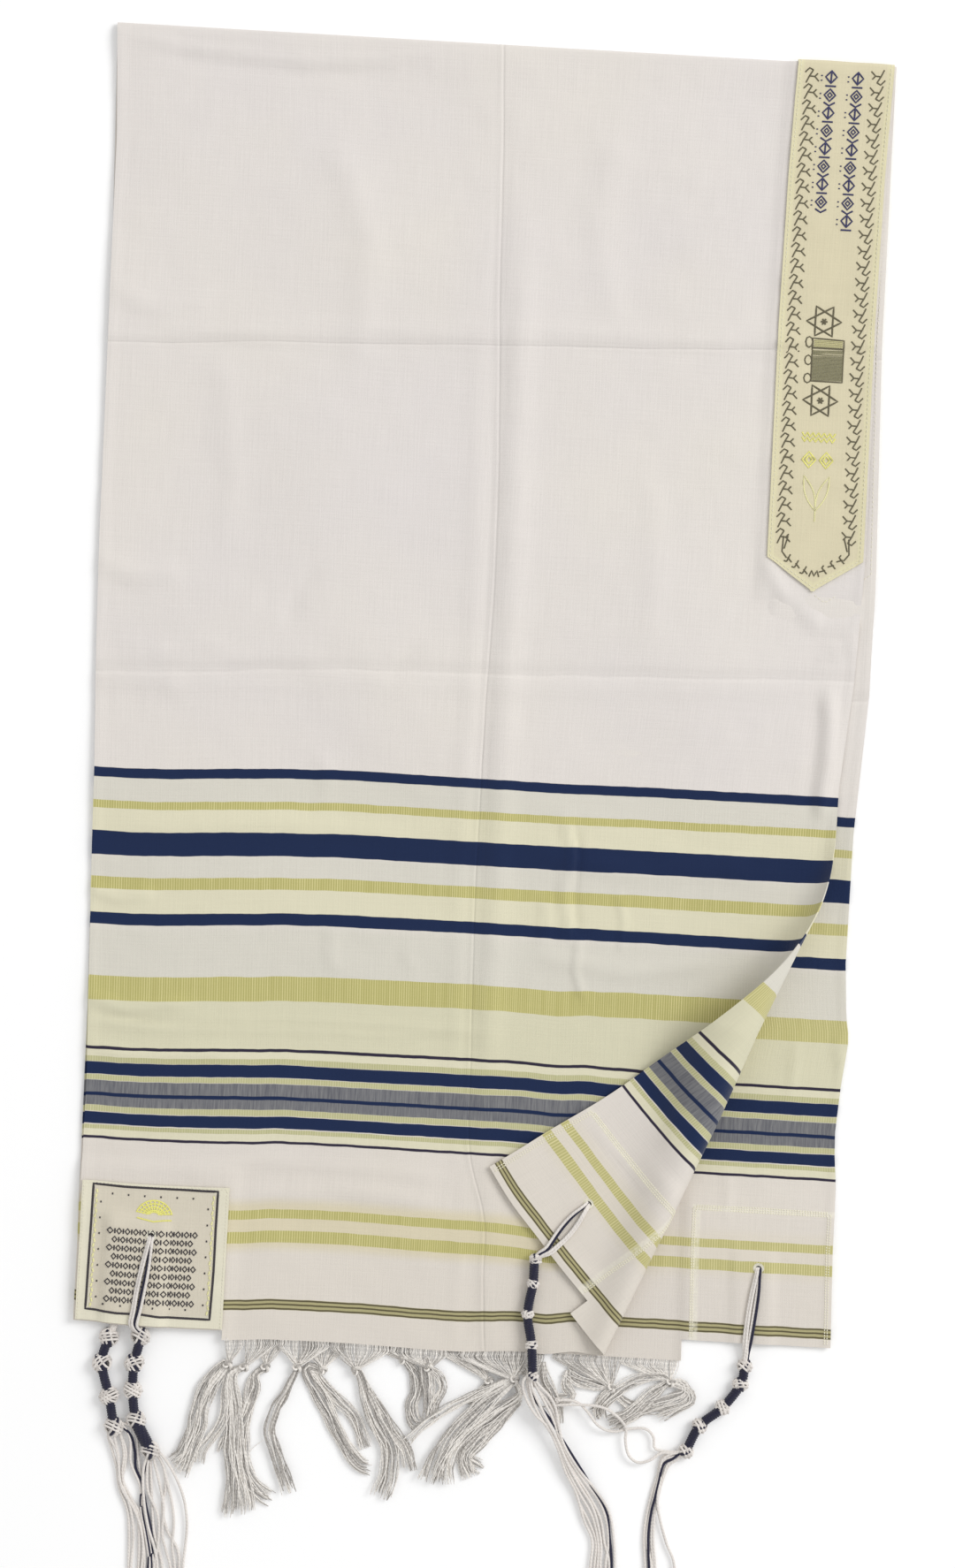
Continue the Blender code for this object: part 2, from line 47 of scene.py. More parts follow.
# A point of the cut has u across it from the left selvage, and v along it from the top fold,
# positive on the front layer and negative on the back one.
MM = 0.001
WIDTH, HALF, HEMMED = 0.555, 0.937, 0.930      # between selvages, fold to fringe, fold to hems
CORNER_LEFT, CORNER_RIGHT = 0.107, 0.448       # u where the hemmed corners end
CLOTH, CLOTH_WALL = 0.001, 0.0008              # the room a layer takes, and the cloth in it
GAP, STRING = 0.0003, 0.0016                   # the space between pieces, and the room of a string
NEEDLEWORK = 0.0010                            # room under the cloth for what is sewn there
FOLD_RADIUS, FOLD_SETTLE = 0.002, 0.030
TOP_LEFT_Y, TOP_RIGHT_Y = 0.469, 0.461
EYELET_V, EYELET_HALF = 0.864, 0.0026
EYELETS = {"front_left": (0.053, EYELET_V), "front_right": (WIDTH - 0.053, 0.8705),
           "back_left": (0.0435, -EYELET_V), "back_right": (WIDTH - 0.053, -EYELET_V)}
HEM_AT = {"front_left": HEMMED, "front_right": 0.9208, "back_left": HEMMED, "back_right": 0.9215}
PATCH_TOPS = {"front_left": 0.8278, "front_right": 0.8250, "back_left": 0.8278, "back_right": 0.8200}
PATCH_SPANS = {"left": (0.0015, 0.1070), "right": (0.4525, 0.5535)}
STRING_SPANS = [(0.025, 0.060), (WIDTH - 0.067, WIDTH - 0.046)]  # u of the strings under each side
BAND_WIDTH, BAND_INSET, BAND_SHOULDER, BAND_TIP = 0.069, 0.0015, 0.357, 0.380
BAND_LOW = WIDTH - BAND_INSET - BAND_WIDTH

FRONT_EDGES = [  # v, x of the left selvage, x of the right selvage
    (0.00, -0.281, 0.2785), (0.08, -0.278, 0.275), (0.19, -0.278, 0.2725), (0.36, -0.278, 0.2715),
    (0.44, -0.277, 0.268), (0.52, -0.2745, 0.2600), (0.60, -0.2735, 0.2585), (0.75, -0.2702, 0.2585),
    (0.94, -0.2722, 0.2585)]
BACK_EDGES = [
    (0.00, -0.281, 0.2785), (0.20, -0.277, 0.2770), (0.36, -0.277, 0.2800), (0.44, -0.276, 0.2790),
    (0.54, -0.274, 0.2720), (0.634, -0.2729, 0.2705), (0.672, -0.2724, 0.2725), (0.689, -0.272, 0.2752),
    (0.722, -0.272, 0.2712), (0.760, -0.272, 0.2682), (0.779, -0.272, 0.2686), (0.800, -0.272, 0.2704),
    (0.849, -0.272, 0.2700), (0.94, -0.271, 0.2718)]
BACK_ROWS = [  # v, how much lower that row lies than the front one
    (0.00, 0.0), (0.45, 0.0126), (0.55, 0.0126), (0.68, 0.011), (0.73, 0.0068), (0.85, 0.004),
    (0.91, 0.0), (0.94, 0.0)]

CREASE_FOOT_X, CREASE_FOOT_Y = 0.1222, -0.4484  # a point on the crease of the turned corner
CREASE_COS, CREASE_SIN = math.cos(math.radians(65.4)), math.sin(math.radians(65.4))
ROLL = [  # way along the crease, radius of the curl there
    (-0.02, 0.005), (0.08, 0.0085), (0.16, 0.0115), (0.23, 0.0195), (0.30, 0.022), (0.44, 0.0215)]
CURL_FALL = 2.2                                # in radii, how far past the curl the flap comes down
FLAP_REST = 0.0067                             # how much higher the flap lies than the front layer
FLAP_STRETCH, STRETCH_FROM, STRETCH_OVER = 0.042, 0.075, 0.035  # its far half reaches farther
SLIP, SLIP_BOW, SLIP_TWIST, SLIP_MIDDLE = -0.20, 1.43, -0.88, 0.2  # it is drawn along the crease
ROW_DROP = [  # v, how much lower the rows hang at the right
    (0.60, 0.0), (0.71, 0.005), (0.79, 0.0075), (0.91, 0.009)]
DROP_FROM_X, DROP_OVER = 0.02, 0.12
LEFT_BEND, BEND_FROM_X, BEND_OVER = 0.005, -0.14, 0.11  # the rows also bend down at the left
EASED_FROM, EASED_OVER = 0.20, 0.25            # u of the part that takes up a row's spare width
SKEW_COLUMNS = (0.0, 0.114, 0.145, 0.180, 0.280, 0.350, 0.384, 0.420, 0.555)
SKEW = [  # v, and how far the weave of the front layer is pulled towards its end at those u, millimetres
    (0.4600, 0.0, 0.0, 0.0, 0.0, 0.0, 0.0, 0.0, 0.0, 0.0),
    (0.5300, 2.2, 2.2, 1.0, -0.3, 0.0, 0.3, -0.3, -1.0, -1.5),
    (0.5800, 2.4, 2.5, 1.6, 0.3, 0.3, 0.0, -0.2, -0.6, -1.0),
    (0.6250, 3.6, 3.4, 1.9, 0.9, 0.3, 0.2, -0.5, -0.8, -0.5),
    (0.6850, 4.2, 4.2, 2.2, 1.3, 0.2, 0.6, -2.5, -4.4, -4.4),
    (0.7600, 0.3, 1.9, 1.0, 1.0, 0.5, -1.0, -4.1, -3.8, -3.8),
    (0.8550, -1.8, 3.6, 1.0, 0.2, 1.6, 3.0, 0.5, -0.5, -0.5),
    (0.9115, -2.5, 3.2, 1.6, 1.2, 2.5, -2.0, -8.0, -8.5, -1.0)]
# creases, in millimetres: height, half width and points across and along the cut
PACKING_CREASES = [  # where the shawl was folded in its packet
    (-1.1, 2.2, [(276.4, 0), (280, 160), (286, 349), (282.5, 540), (281.6, 718), (284, 794), (299.5, 845),
                 (300.5, 883), (312, 938)]),
    (1.6, 10, [(296, 120), (299, 349), (300, 539), (300, 603), (296, 711), (297, 800), (310, 860), (322, 938)]),
    (0.7, 6, [(266, 200), (272, 400), (268, 600), (269, 760), (286, 860)]),
    (-0.8, 1.8, [(0, 229), (284, 215.5), (555, 207)]),
    (0.9, 6, [(0, 222), (284, 208.5), (555, 200)]),
    (-0.5, 2.2, [(0, 460.5), (287, 453.6), (540, 442)]),
    (0.8, 7, [(10, 468), (287, 461), (540, 449)]),
    (0.9, 4.5, [(0, 711.2), (150, 712.8), (300, 708)]),
    (0.6, 5, [(15, 816), (132, 810), (264, 814)])]
WRINKLES = [  # the small ones of use
    (1, 3.5, [(12, 12), (75, 18), (137, 21), (186, 18), (232, 8)]),
    (-0.7, 3, [(30, 24), (80, 27), (137, 30), (190, 26)]),
    (-1, 2, [(0, 703), (30, 706.5), (66, 710), (130, 711), (193, 711.2), (246, 710.5)]),
    (-1.1, 2.2, [(88, 459), (120, 461), (156, 458.5)]),
    (-1, 2.2, [(302, 447.5), (335, 447), (371, 444.5)]),
    (-0.9, 3, [(233, 438), (222, 449), (211, 464)]),
    (0.9, 3, [(24, 452), (58, 445.5), (92, 440)]),
    (0.9, 2.8, [(232, 648), (229, 657), (232, 667)]),
    (1.6, 3.2, [(354, 552), (360, 577), (356, 606), (361, 640)]),
    (-0.8, 3, [(361, 556), (367, 580), (364, 606), (368, 634)]),
    (1.2, 3, [(369, 636), (367, 662), (375, 682)]),
    (1.2, 2.8, [(336, 604), (342, 626), (336, 645)]),
    (1, 3, [(400, 604), (405, 625), (402, 646)]),
    (2.4, 6, [(538, 450), (543, 480), (545, 506), (543, 545)]),
    (-1, 4, [(529, 455), (533, 490), (534, 540)]),
    (1.4, 3, [(527, 428), (541, 422), (553, 414)]),
    (1, 3.5, [(510, 398), (529, 406), (552, 402)]),
    (1.2, 3.2, [(176, 640), (172, 655), (177, 672)]),
    (-1, 4, [(158, 384), (143, 402), (136, 425)]),
    (0.9, 4.5, [(160, 515), (168, 534), (166, 562)]),
    (1.3, 6, [(0, 384), (24, 392), (60, 388)]),
    (1.1, 5.5, [(0, 468), (26, 464), (62, 468)]),
    (1.2, 4.5, [(0, 615), (20, 620), (45, 615)]),
    (1.4, 5, [(0, 691), (26, 699), (72, 694)]),
    (1.1, 4.5, [(0, 729), (33, 734), (105, 731)]),
    (1.1, 7, [(0, 190), (35, 203), (75, 195)]),
    (0.5, 10, [(395, 300), (406, 368), (405, 430)]),
    (0.8, 10, [(82, 235), (92, 308), (90, 372)]),
    (1.4, 5, [(483, 360), (500, 385), (530, 402)]),
    (1.2, 4, [(278, 850), (281, 883), (279, 932)]),
    (-1, 3, [(287, 858), (291, 885), (290, 930)]),
    (1.8, 4, [(302, 878), (307, 908), (313, 938)]),
    (1, 7, [(108, 836), (184, 829), (260, 832)]),
    (1.2, 8, [(20, 570), (120, 566), (230, 572)]),
    (1, 8, [(330, 580), (420, 590), (500, 580)]),
    (1, 7, [(330, 650), (410, 662), (470, 650)]),
    (1, 12, [(160, 80), (185, 150), (180, 240)]),
    (0.9, 12, [(360, 60), (350, 130), (365, 190)])]
BACK_WRINKLES = [
    (1, 5, [(485, 722), (519, 727), (555, 721)]),
    (1.2, 4, [(516, 692), (520, 708), (520, 735)]),
    (1.1, 4.5, [(495, 808), (526, 810), (555, 804)]),
    (1.2, 3, [(475, 800), (479, 810), (477, 822)]),
    (1.8, 3, [(546, 690), (549, 700), (553, 712)]),
    (1, 6, [(440, 600), (500, 612), (550, 604)]),
    (1, 8, [(50, 300), (150, 310), (250, 300)]),
    (1, 8, [(300, 500), (420, 490), (520, 500)]),
    (0.9, 4, [(276.4, 0), (286, 349), (282.5, 540), (281.6, 718), (300, 938)])]
FLAP_RIDGES = [  # the patch under the turned corner shows, and its small dents
    (0.8, 2, [(440, 830.5), (470, 831), (500, 829), (530, 831.5), (548, 831)]),
    (0.4, 1.4, [(447.5, 832), (448, 880), (447.5, 928)]),
    (1.2, 5, [(500, 800), (515, 780), (520, 750)]),
    (1, 6, [(455, 900), (470, 915), (500, 918)]),
    (1.1, 5, [(420, 905), (432, 880), (430, 850)]),
    (1.2, 6, [(500, 700), (515, 715), (540, 722)]),
    (1, 4, [(520, 735), (540, 742), (555, 738)])]



EASE = 0.0012                                  # how far the front layer stands off the back one
CREASE_DEPTH = 1.7                             # how much deeper than listed its creases are
FLAP_PRESS = 0.6                               # how much of them the flap presses out
UNDER_FLAP_U, UNDER_FLAP_V = (0.27, 0.47), (0.74, 0.95)
HEM_RIDGE, HEM_DEPTH = 0.0005, 0.004           # the selvages stand up as narrow ridges


def soft(t):
    """A smooth step from 0 to 1."""
    t = np.clip(t, 0.0, 1.0)
    return t * t * (3 - 2 * t)


def read_table(rows, x, column=1):
    rows = np.asarray(rows)
    return np.interp(x, rows[:, 0], rows[:, column])


def within(x, low, high, ramp):
    """1 between low and high, falling softly to 0 over ramp outside them."""
    return soft((x - low) / ramp + 1) * soft((high - x) / ramp + 1)


def run_along(points):
    """The way covered at each point of a line."""
    return np.concatenate([[0], np.cumsum(np.linalg.norm(np.diff(points, axis=0), axis=1))])


def creased(u, v, creases):
    """Height of listed creases: soft ridges and troughs that fade towards their ends."""
    height = np.zeros_like(u)
    for rise, half_width, line in creases:
        line = np.asarray(line) * MM
        starts = run_along(line)
        nearest, along = np.full_like(u, 9.0), np.zeros_like(u)
        for (u0, v0), (u1, v1), start, length in zip(line, line[1:], starts, np.diff(starts)):
            share = np.clip(((u - u0) * (u1 - u0) + (v - v0) * (v1 - v0)) / length ** 2, 0, 1)
            away = np.hypot(u - u0 - share * (u1 - u0), v - v0 - share * (v1 - v0))
            along = np.where(away < nearest, (start + share * length) / starts[-1], along)
            nearest = np.minimum(nearest, away)
        fade = soft((along + 0.06) / 0.2) * soft((1.06 - along) / 0.2)
        height += rise * MM * fade * np.exp(-(nearest / (half_width * MM)) ** 2)
    return height


def swells(u, v, seed, longest, shortest, count=14):
    """Slow uneven lie of the cloth, from -1 to 1."""
    dice = np.random.default_rng(seed)
    total = np.zeros_like(u)
    for _ in range(count):
        angle, phase = dice.uniform(0, 2 * math.pi, 2)
        wave = 2 * math.pi / dice.uniform(shortest, longest)
        total += np.sin(wave * (u * math.cos(angle) + v * math.sin(angle)) + phase)
    return total / math.sqrt(count) / 1.6


def mound(u, v, spans):
    """1 over the strings between an eyelet and the hem, 0 away from them."""
    over = np.maximum.reduce([within(u, low, high, 0.009) for low, high in spans])
    return over * within(v, EYELET_V - 0.006, 1.0, 0.012)


def back_lift(u, v):
    """How far the back layer is held up by the pieces under it. v is counted positive here."""
    patch = np.maximum(*(within(u, *span, 0.01) for span in PATCH_SPANS.values()))
    patch = patch * within(v, min(PATCH_TOPS.values()), 1.0, 0.012)
    band = within(u, BAND_LOW, WIDTH, 0.01) * within(v, -1.0, BAND_TIP, 0.012)
    return (CLOTH + GAP + NEEDLEWORK) * np.maximum(patch, band) + (STRING + GAP) * mound(u, v, STRING_SPANS)


def selvages(u):
    """Height of the narrow ridges along both sides."""
    return HEM_RIDGE * (within(u, -0.01, HEM_DEPTH, 0.001) + within(u, WIDTH - HEM_DEPTH, WIDTH + 0.01, 0.001))


def back_relief(u, v):
    """How far the back layer stands off what it lies on."""
    lie = 0.0005 * (1 + swells(u, v, 5, 0.20, 0.06)) * within(v, 0.05, 0.80, 0.03)
    return np.maximum(lie + creased(u, v, BACK_WRINKLES) + selvages(u), 0)


def front_relief(u, v):
    """How far the front layer stands off the back one, over the pressed cloth."""
    under_flap = within(u, *UNDER_FLAP_U, 0.02) * within(v, *UNDER_FLAP_V, 0.03)
    lie = 0.0011 * swells(u, v, 8, 0.26, 0.09) + 0.00025 * swells(u, v, 9, 0.05, 0.02, 20)
    lie = lie + CREASE_DEPTH * (creased(u, v, PACKING_CREASES) + creased(u, v, WRINKLES))
    lie = lie * (1 - FLAP_PRESS * under_flap) * soft(v / 0.012)
    return np.maximum(EASE * soft(v / 0.03) + lie, 0.0001) + selvages(u)


def skewed(u, v):
    """How far the weave is pulled towards the end of the front layer."""
    table = np.array(SKEW)
    row = np.clip(np.interp(v, table[:, 0], np.arange(len(table))), 0, len(table) - 1.0001)
    last = len(SKEW_COLUMNS) - 1.0001
    column = np.clip(np.interp(u, SKEW_COLUMNS, np.arange(len(SKEW_COLUMNS))), 0, last)
    high, left = row.astype(int), column.astype(int)
    down, across = row - high, soft(column - left)
    upper = table[high, left + 1] * (1 - across) + table[high, left + 2] * across
    lower = table[high + 1, left + 1] * (1 - across) + table[high + 1, left + 2] * across
    return (upper * (1 - down) + lower * down) * MM


def laid_x(u, v, edges):
    """x of a point of a layer, whose rows are as wide as their two edges leave room for."""
    left, right = read_table(edges, v, 1), read_table(edges, v, 2)
    return left + u - (WIDTH - (right - left)) * soft((u - EASED_FROM) / EASED_OVER)


def lay_middle(u, v):
    """Where a point of the cut lies, as x, y and z of the middle of the cloth."""
    distance = np.abs(v)
    quarter = math.pi / 2 * FOLD_RADIUS
    top = TOP_LEFT_Y + (TOP_RIGHT_Y - TOP_LEFT_Y) * u / WIDTH
    low = CLOTH / 2 + back_lift(u, distance)
    run = top - FOLD_RADIUS - (distance - quarter)
    # back layer
    back_x, back_y = laid_x(u, distance, BACK_EDGES), run - read_table(BACK_ROWS, distance)
    back_z = low + back_relief(u, distance)
    # front layer, before its corner is turned
    front_x = laid_x(u, distance, FRONT_EDGES)
    bend = LEFT_BEND * soft((BEND_FROM_X - front_x) / BEND_OVER) * soft(distance / 0.5)
    drop = read_table(ROW_DROP, distance) * soft((front_x - DROP_FROM_X) / DROP_OVER)
    front_y = run - bend - drop - skewed(u, distance)
    resting = low + CLOTH + GAP + (STRING + GAP) * mound(u, distance, STRING_SPANS[:1])
    settling = (low + 2 * FOLD_RADIUS - resting) * (1 - soft((distance - quarter) / FOLD_SETTLE))
    front_z = resting + settling + front_relief(u, distance)
    # the turned corner: past the crease and along it, round the curl and down to the flap
    from_x, from_y = front_x - CREASE_FOOT_X, front_y - CREASE_FOOT_Y
    past = from_x * CREASE_SIN - from_y * CREASE_COS
    along = from_x * CREASE_COS + from_y * CREASE_SIN
    radius = read_table(ROLL, along)
    turn = math.pi / 2 * radius
    angle = np.clip((past + turn) / radius, 0, math.pi)
    settled = FLAP_REST - front_z
    falling = np.exp(-(np.maximum(past - turn, 0) / (CURL_FALL * radius)) ** 2)
    rise = np.where(past < turn, radius * (1 - np.cos(angle)), settled + (2 * radius - settled) * falling)
    reach = past * (1 + FLAP_STRETCH * soft((past - STRETCH_FROM) / STRETCH_OVER))
    across = np.where(past < turn, radius * np.sin(angle) - turn, -reach)
    over = np.maximum(past, 0)
    slid = along + (SLIP + SLIP_BOW * over + SLIP_TWIST * (along - SLIP_MIDDLE)) * over
    turned = past > -turn
    flap_lie = creased(u, v, FLAP_RIDGES) + 0.0005 * (1 + swells(u, v, 3, 0.09, 0.03))
    front_x = np.where(turned, CREASE_FOOT_X + slid * CREASE_COS + across * CREASE_SIN, front_x)
    front_y = np.where(turned, CREASE_FOOT_Y + slid * CREASE_SIN - across * CREASE_COS, front_y)
    front_z = np.where(turned, front_z + rise + soft((past - turn) / 0.02) * flap_lie, front_z)
    # round the top fold
    fold = np.clip(v / FOLD_RADIUS, -math.pi / 2, math.pi / 2)
    in_fold, behind = distance < quarter, v < 0
    x = np.where(in_fold, laid_x(u, 0 * v, FRONT_EDGES), np.where(behind, back_x, front_x))
    y = np.where(in_fold, top - FOLD_RADIUS + FOLD_RADIUS * np.cos(fold), np.where(behind, back_y, front_y))
    z = np.where(in_fold, low + FOLD_RADIUS + FOLD_RADIUS * np.sin(fold), np.where(behind, back_z, front_z))
    return np.stack([x, y, z], axis=-1)


def lay(u, v, lift=0.0):
    """Where a point of the cut lies, moved out towards the face side by lift."""
    u, v = np.broadcast_arrays(np.asarray(u, float), np.asarray(v, float))
    step = 0.0004
    across = lay_middle(u + step, v) - lay_middle(u - step, v)
    down = lay_middle(u, v + step) - lay_middle(u, v - step)
    out = np.cross(down, across)
    out /= np.linalg.norm(out, axis=-1, keepdims=True)
    return lay_middle(u, v) + out * np.asarray(lift)[..., None]


def read_chart(mesh):
    spots = np.zeros(len(mesh.vertices) * 3)
    mesh.attributes["cut"].data.foreach_get("vector", spots)
    return spots.reshape(-1, 3)


def mark_chart(mesh, marks):
    """Set the third value of the chart of a pattern."""
    spots = read_chart(mesh)
    spots[:, 2] = marks
    mesh.attributes["cut"].data.foreach_set("vector", spots.ravel())


def cloth_panel(name, u, v, material, lift=0.0, keep=None):
    """A closed thin shell on a grid of the cut; its attribute "cut" holds the chart of its pattern."""
    rows, columns = u.shape
    corner = np.arange(rows * columns).reshape(rows, columns)
    faces = np.stack([corner[:-1, :-1], corner[1:, :-1], corner[1:, 1:], corner[:-1, 1:]], axis=-1)
    if keep is not None:
        faces = faces[keep((u[:-1, :-1] + u[1:, 1:]) / 2, (v[:-1, :-1] + v[1:, 1:]) / 2)]
    used, faces = np.unique(faces, return_inverse=True)
    mesh = bpy.data.meshes.new(name)
    mesh.from_pydata(lay(u, v, lift).reshape(-1, 3)[used].tolist(), [], faces.reshape(-1, 4).tolist())
    spots = np.stack([u, v, np.zeros_like(u)], axis=-1).reshape(-1, 3)[used]
    mesh.attributes.new("cut", "FLOAT_VECTOR", "POINT").data.foreach_set("vector", spots.ravel())
    mesh.materials.append(material)
    panel = bpy.data.objects.new(name, mesh)
    bpy.context.scene.collection.objects.link(panel)
    shell = panel.modifiers.new("wall", "SOLIDIFY")
    shell.thickness, shell.offset, shell.use_even_offset = CLOTH_WALL, 0, False
    panel.data = bpy.data.meshes.new_from_object(panel.evaluated_get(bpy.context.evaluated_depsgraph_get()))
    panel.modifiers.clear()
    panel.data.shade_smooth()
    panel.data.set_sharp_from_angle(angle=math.radians(70))
    return panel


def seen_colour(red, green, blue):
    """A colour as it looks in daylight, 0 to 255, as the shader takes it."""
    return tuple(((c / 255 + 0.055) / 1.055) ** 2.4 for c in (red, green, blue)) + (1.0,)


def feed(tree, node, feeds):
    """Give a node's inputs, by name or number, their values or the sockets that lead to them."""
    for label, value in feeds.items():
        if isinstance(value, bpy.types.NodeSocket):
            tree.links.new(value, node.inputs[label])
        else:
            node.inputs[label].default_value = value


def add_node(tree, kind, feeds, **settings):
    node = tree.nodes.new(kind)
    for name, value in settings.items():
        setattr(node, name, value)
    feed(tree, node, feeds)
    return node


def calc(tree, operation, *values):
    return add_node(tree, "ShaderNodeMath", dict(enumerate(values)), operation=operation).outputs[0]


def tint(tree, share, under, over):
    return add_node(tree, "ShaderNodeMix", {0: share, 6: under, 7: over}, data_type="RGBA").outputs[2]


def shade(tree, color, tone):
    return add_node(tree, "ShaderNodeVectorMath", {0: color, "Scale": tone}, operation="SCALE").outputs[0]


def grain(tree, place, scale, stretch=(1, 1, 0), detail=2.0):
    """Noise from 0 to 1 on a vector, stretched along its axes."""
    mapping = add_node(tree, "ShaderNodeMapping", {"Vector": place, "Scale": stretch})
    feeds = {"Vector": mapping.outputs[0], "Scale": scale, "Detail": detail}
    return add_node(tree, "ShaderNodeTexNoise", feeds).outputs["Fac"]


def effect(name, inputs, outputs, kind="ShaderNodeTree"):
    """A new group of nodes: its tree, its inputs by name and its output node."""
    tree = bpy.data.node_groups.new(name, kind)
    for label, form, *value in inputs:
        socket = tree.interface.new_socket(label, in_out="INPUT", socket_type="NodeSocket" + form)
        if value:
            socket.default_value = value[0]
    for label, form in outputs:
        tree.interface.new_socket(label, in_out="OUTPUT", socket_type="NodeSocket" + form)
    return tree, tree.nodes.new("NodeGroupInput").outputs, tree.nodes.new("NodeGroupOutput")


def apply_effect(tree, group, **feeds):
    return add_node(tree, "ShaderNodeGroup", feeds, node_tree=group).outputs


def parts_of(tree, vector):
    return add_node(tree, "ShaderNodeSeparateXYZ", {0: vector}).outputs


def new_material(name, attribute):
    """A material, its tree, its Principled shader and the vector of the piece's own attribute."""
    material = bpy.data.materials.new(name)
    material.use_nodes = True
    tree = material.node_tree
    source = add_node(tree, "ShaderNodeAttribute", {}, attribute_name=attribute)
    return material, tree, tree.nodes["Principled BSDF"], source.outputs["Vector"]


def dress(tree, shader, color, height, relief, roughness=0.9, sheen=0.2):
    """Join colour and height to the shader; the plain numbers stay on its own sockets."""
    bump = add_node(tree, "ShaderNodeBump", {"Strength": 0.6, "Distance": relief, "Height": height})
    feed(tree, shader, {
        "Base Color": color, "Normal": bump.outputs[0], "Roughness": roughness, "Specular IOR Level": 0.25,
        "Sheen Weight": sheen, "Sheen Roughness": 0.5})


# plain weave: crossing threads, with slubs along both ways; its tone is a little lighter where the crossings stand
# up, a painted highlight
weave, entry, result = effect("plain weave", [("Cut", "Vector"), ("Pitch", "Float", 0.0006)],
                              [("Height", "Float"), ("Tone", "Float")])
across_cut, along_cut, _ = parts_of(weave, entry["Cut"])
turns = calc(weave, "DIVIDE", 2 * math.pi, entry["Pitch"])
warp = calc(weave, "SINE", calc(weave, "MULTIPLY", across_cut, turns))
weft = calc(weave, "SINE", calc(weave, "MULTIPLY", along_cut, turns))
cross = calc(weave, "MULTIPLY", warp, weft)
warp_slub = calc(weave, "MULTIPLY", grain(weave, entry["Cut"], 1.0, (900, 26, 0), 3.0), 0.6)
weft_slub = calc(weave, "MULTIPLY", grain(weave, entry["Cut"], 1.0, (22, 800, 0), 3.0), 0.4)
slubs = calc(weave, "ADD", warp_slub, weft_slub)
feed(weave, result, {
    "Height": calc(weave, "MULTIPLY_ADD", cross, 0.25, calc(weave, "MULTIPLY", slubs, 1.5)),
    "Tone": calc(weave, "MULTIPLY_ADD", slubs, 0.14, calc(weave, "MULTIPLY_ADD", cross, 0.012, 0.93))})

# a stripe: another yarn between two distances, with a soft or a sharp edge
stripe, entry, result = effect(
    "woven stripe", [("Ground", "Color"), ("Yarn", "Color"), ("Distance", "Float", 0.0), ("From", "Float", 0.0),
                     ("To", "Float", 1.0), ("Edge", "Float", 0.0004)],
    [("Color", "Color"), ("Mask", "Float")])
sides = []
for ends in ((entry["Distance"], entry["From"]), (entry["To"], entry["Distance"])):
    way_in = calc(stripe, "DIVIDE", calc(stripe, "SUBTRACT", *ends), entry["Edge"])
    sides.append(add_node(stripe, "ShaderNodeMapRange", {"Value": way_in, "From Min": -0.5, "From Max": 0.5},
                          interpolation_type="SMOOTHSTEP").outputs[0])
mask = calc(stripe, "MULTIPLY", *sides)
feed(stripe, result, {"Color": tint(stripe, mask, entry["Ground"], entry["Yarn"]), "Mask": mask})

# a pressed fold line: a fine groove, with a painted highlight along it and painted shade beside it
fold_line, entry, result = effect("pressed fold line", [("Away", "Float", 0.0), ("Width", "Float", 0.001)],
                                  [("Height", "Float"), ("Tone", "Float")])


def bell(tree, away, width):
    ratio = calc(tree, "DIVIDE", away, width)
    return calc(tree, "EXPONENT", calc(tree, "MULTIPLY", calc(tree, "MULTIPLY", ratio, ratio), -1.0))


core = bell(fold_line, entry["Away"], entry["Width"])
beside = bell(fold_line, calc(fold_line, "MULTIPLY_ADD", entry["Width"], 3.2, entry["Away"]),
              calc(fold_line, "MULTIPLY", entry["Width"], 2.4))
# painted shade beside the groove; the core term below is a painted highlight along it
painted_crease_shade = calc(fold_line, "MULTIPLY_ADD", beside, -0.045, 1.0)
feed(fold_line, result, {"Height": calc(fold_line, "MULTIPLY", core, -2.4),
                         "Tone": calc(fold_line, "MULTIPLY_ADD", core, 0.030, painted_crease_shade)})
LEVEL_FOLDS = [  # the level fold lines: slope across the cut, v at the left, wander and width
    (0.040, 0.2283, 1.0, 0.0009), (0.034, 0.4625, 2.0, 0.0016)]
UPRIGHT_FOLD_WIDTH = 0.0010


def pressed_lines(tree, place):
    """The effect of each pressed fold line of the shawl on a piece that lies at that place of the cut."""
    across, down, _ = parts_of(tree, place)
    down = calc(tree, "ABSOLUTE", down)
    wander = calc(tree, "MULTIPLY_ADD", grain(tree, place, 14.0), 0.0030, -0.0015)
    packed = add_node(tree, "ShaderNodeFloatCurve", {"Value": down})
    packed.mapping.use_clip = False
    points = packed.mapping.curves[0].points
    line = np.array(PACKING_CREASES[0][2]) * MM
    for point, u, v in zip(list(points), (line[0][0], line[-1][0]), (0.0, 1.0)):
        point.location = (v, u)
    for u, v in line[1:-1]:
        points.new(v, u)
    packed.mapping.update()
    upright = calc(tree, "SUBTRACT", across, packed.outputs[0])
    away = [(calc(tree, "SUBTRACT", upright, calc(tree, "MULTIPLY", wander, 0.5)), UPRIGHT_FOLD_WIDTH)]
    for slope, start, share, width in LEVEL_FOLDS:
        level = calc(tree, "SUBTRACT", calc(tree, "MULTIPLY_ADD", across, slope, down), start)
        away.append((calc(tree, "MULTIPLY_ADD", wander, share, level), width))
    return [apply_effect(tree, fold_line, Away=distance, Width=width) for distance, width in away]




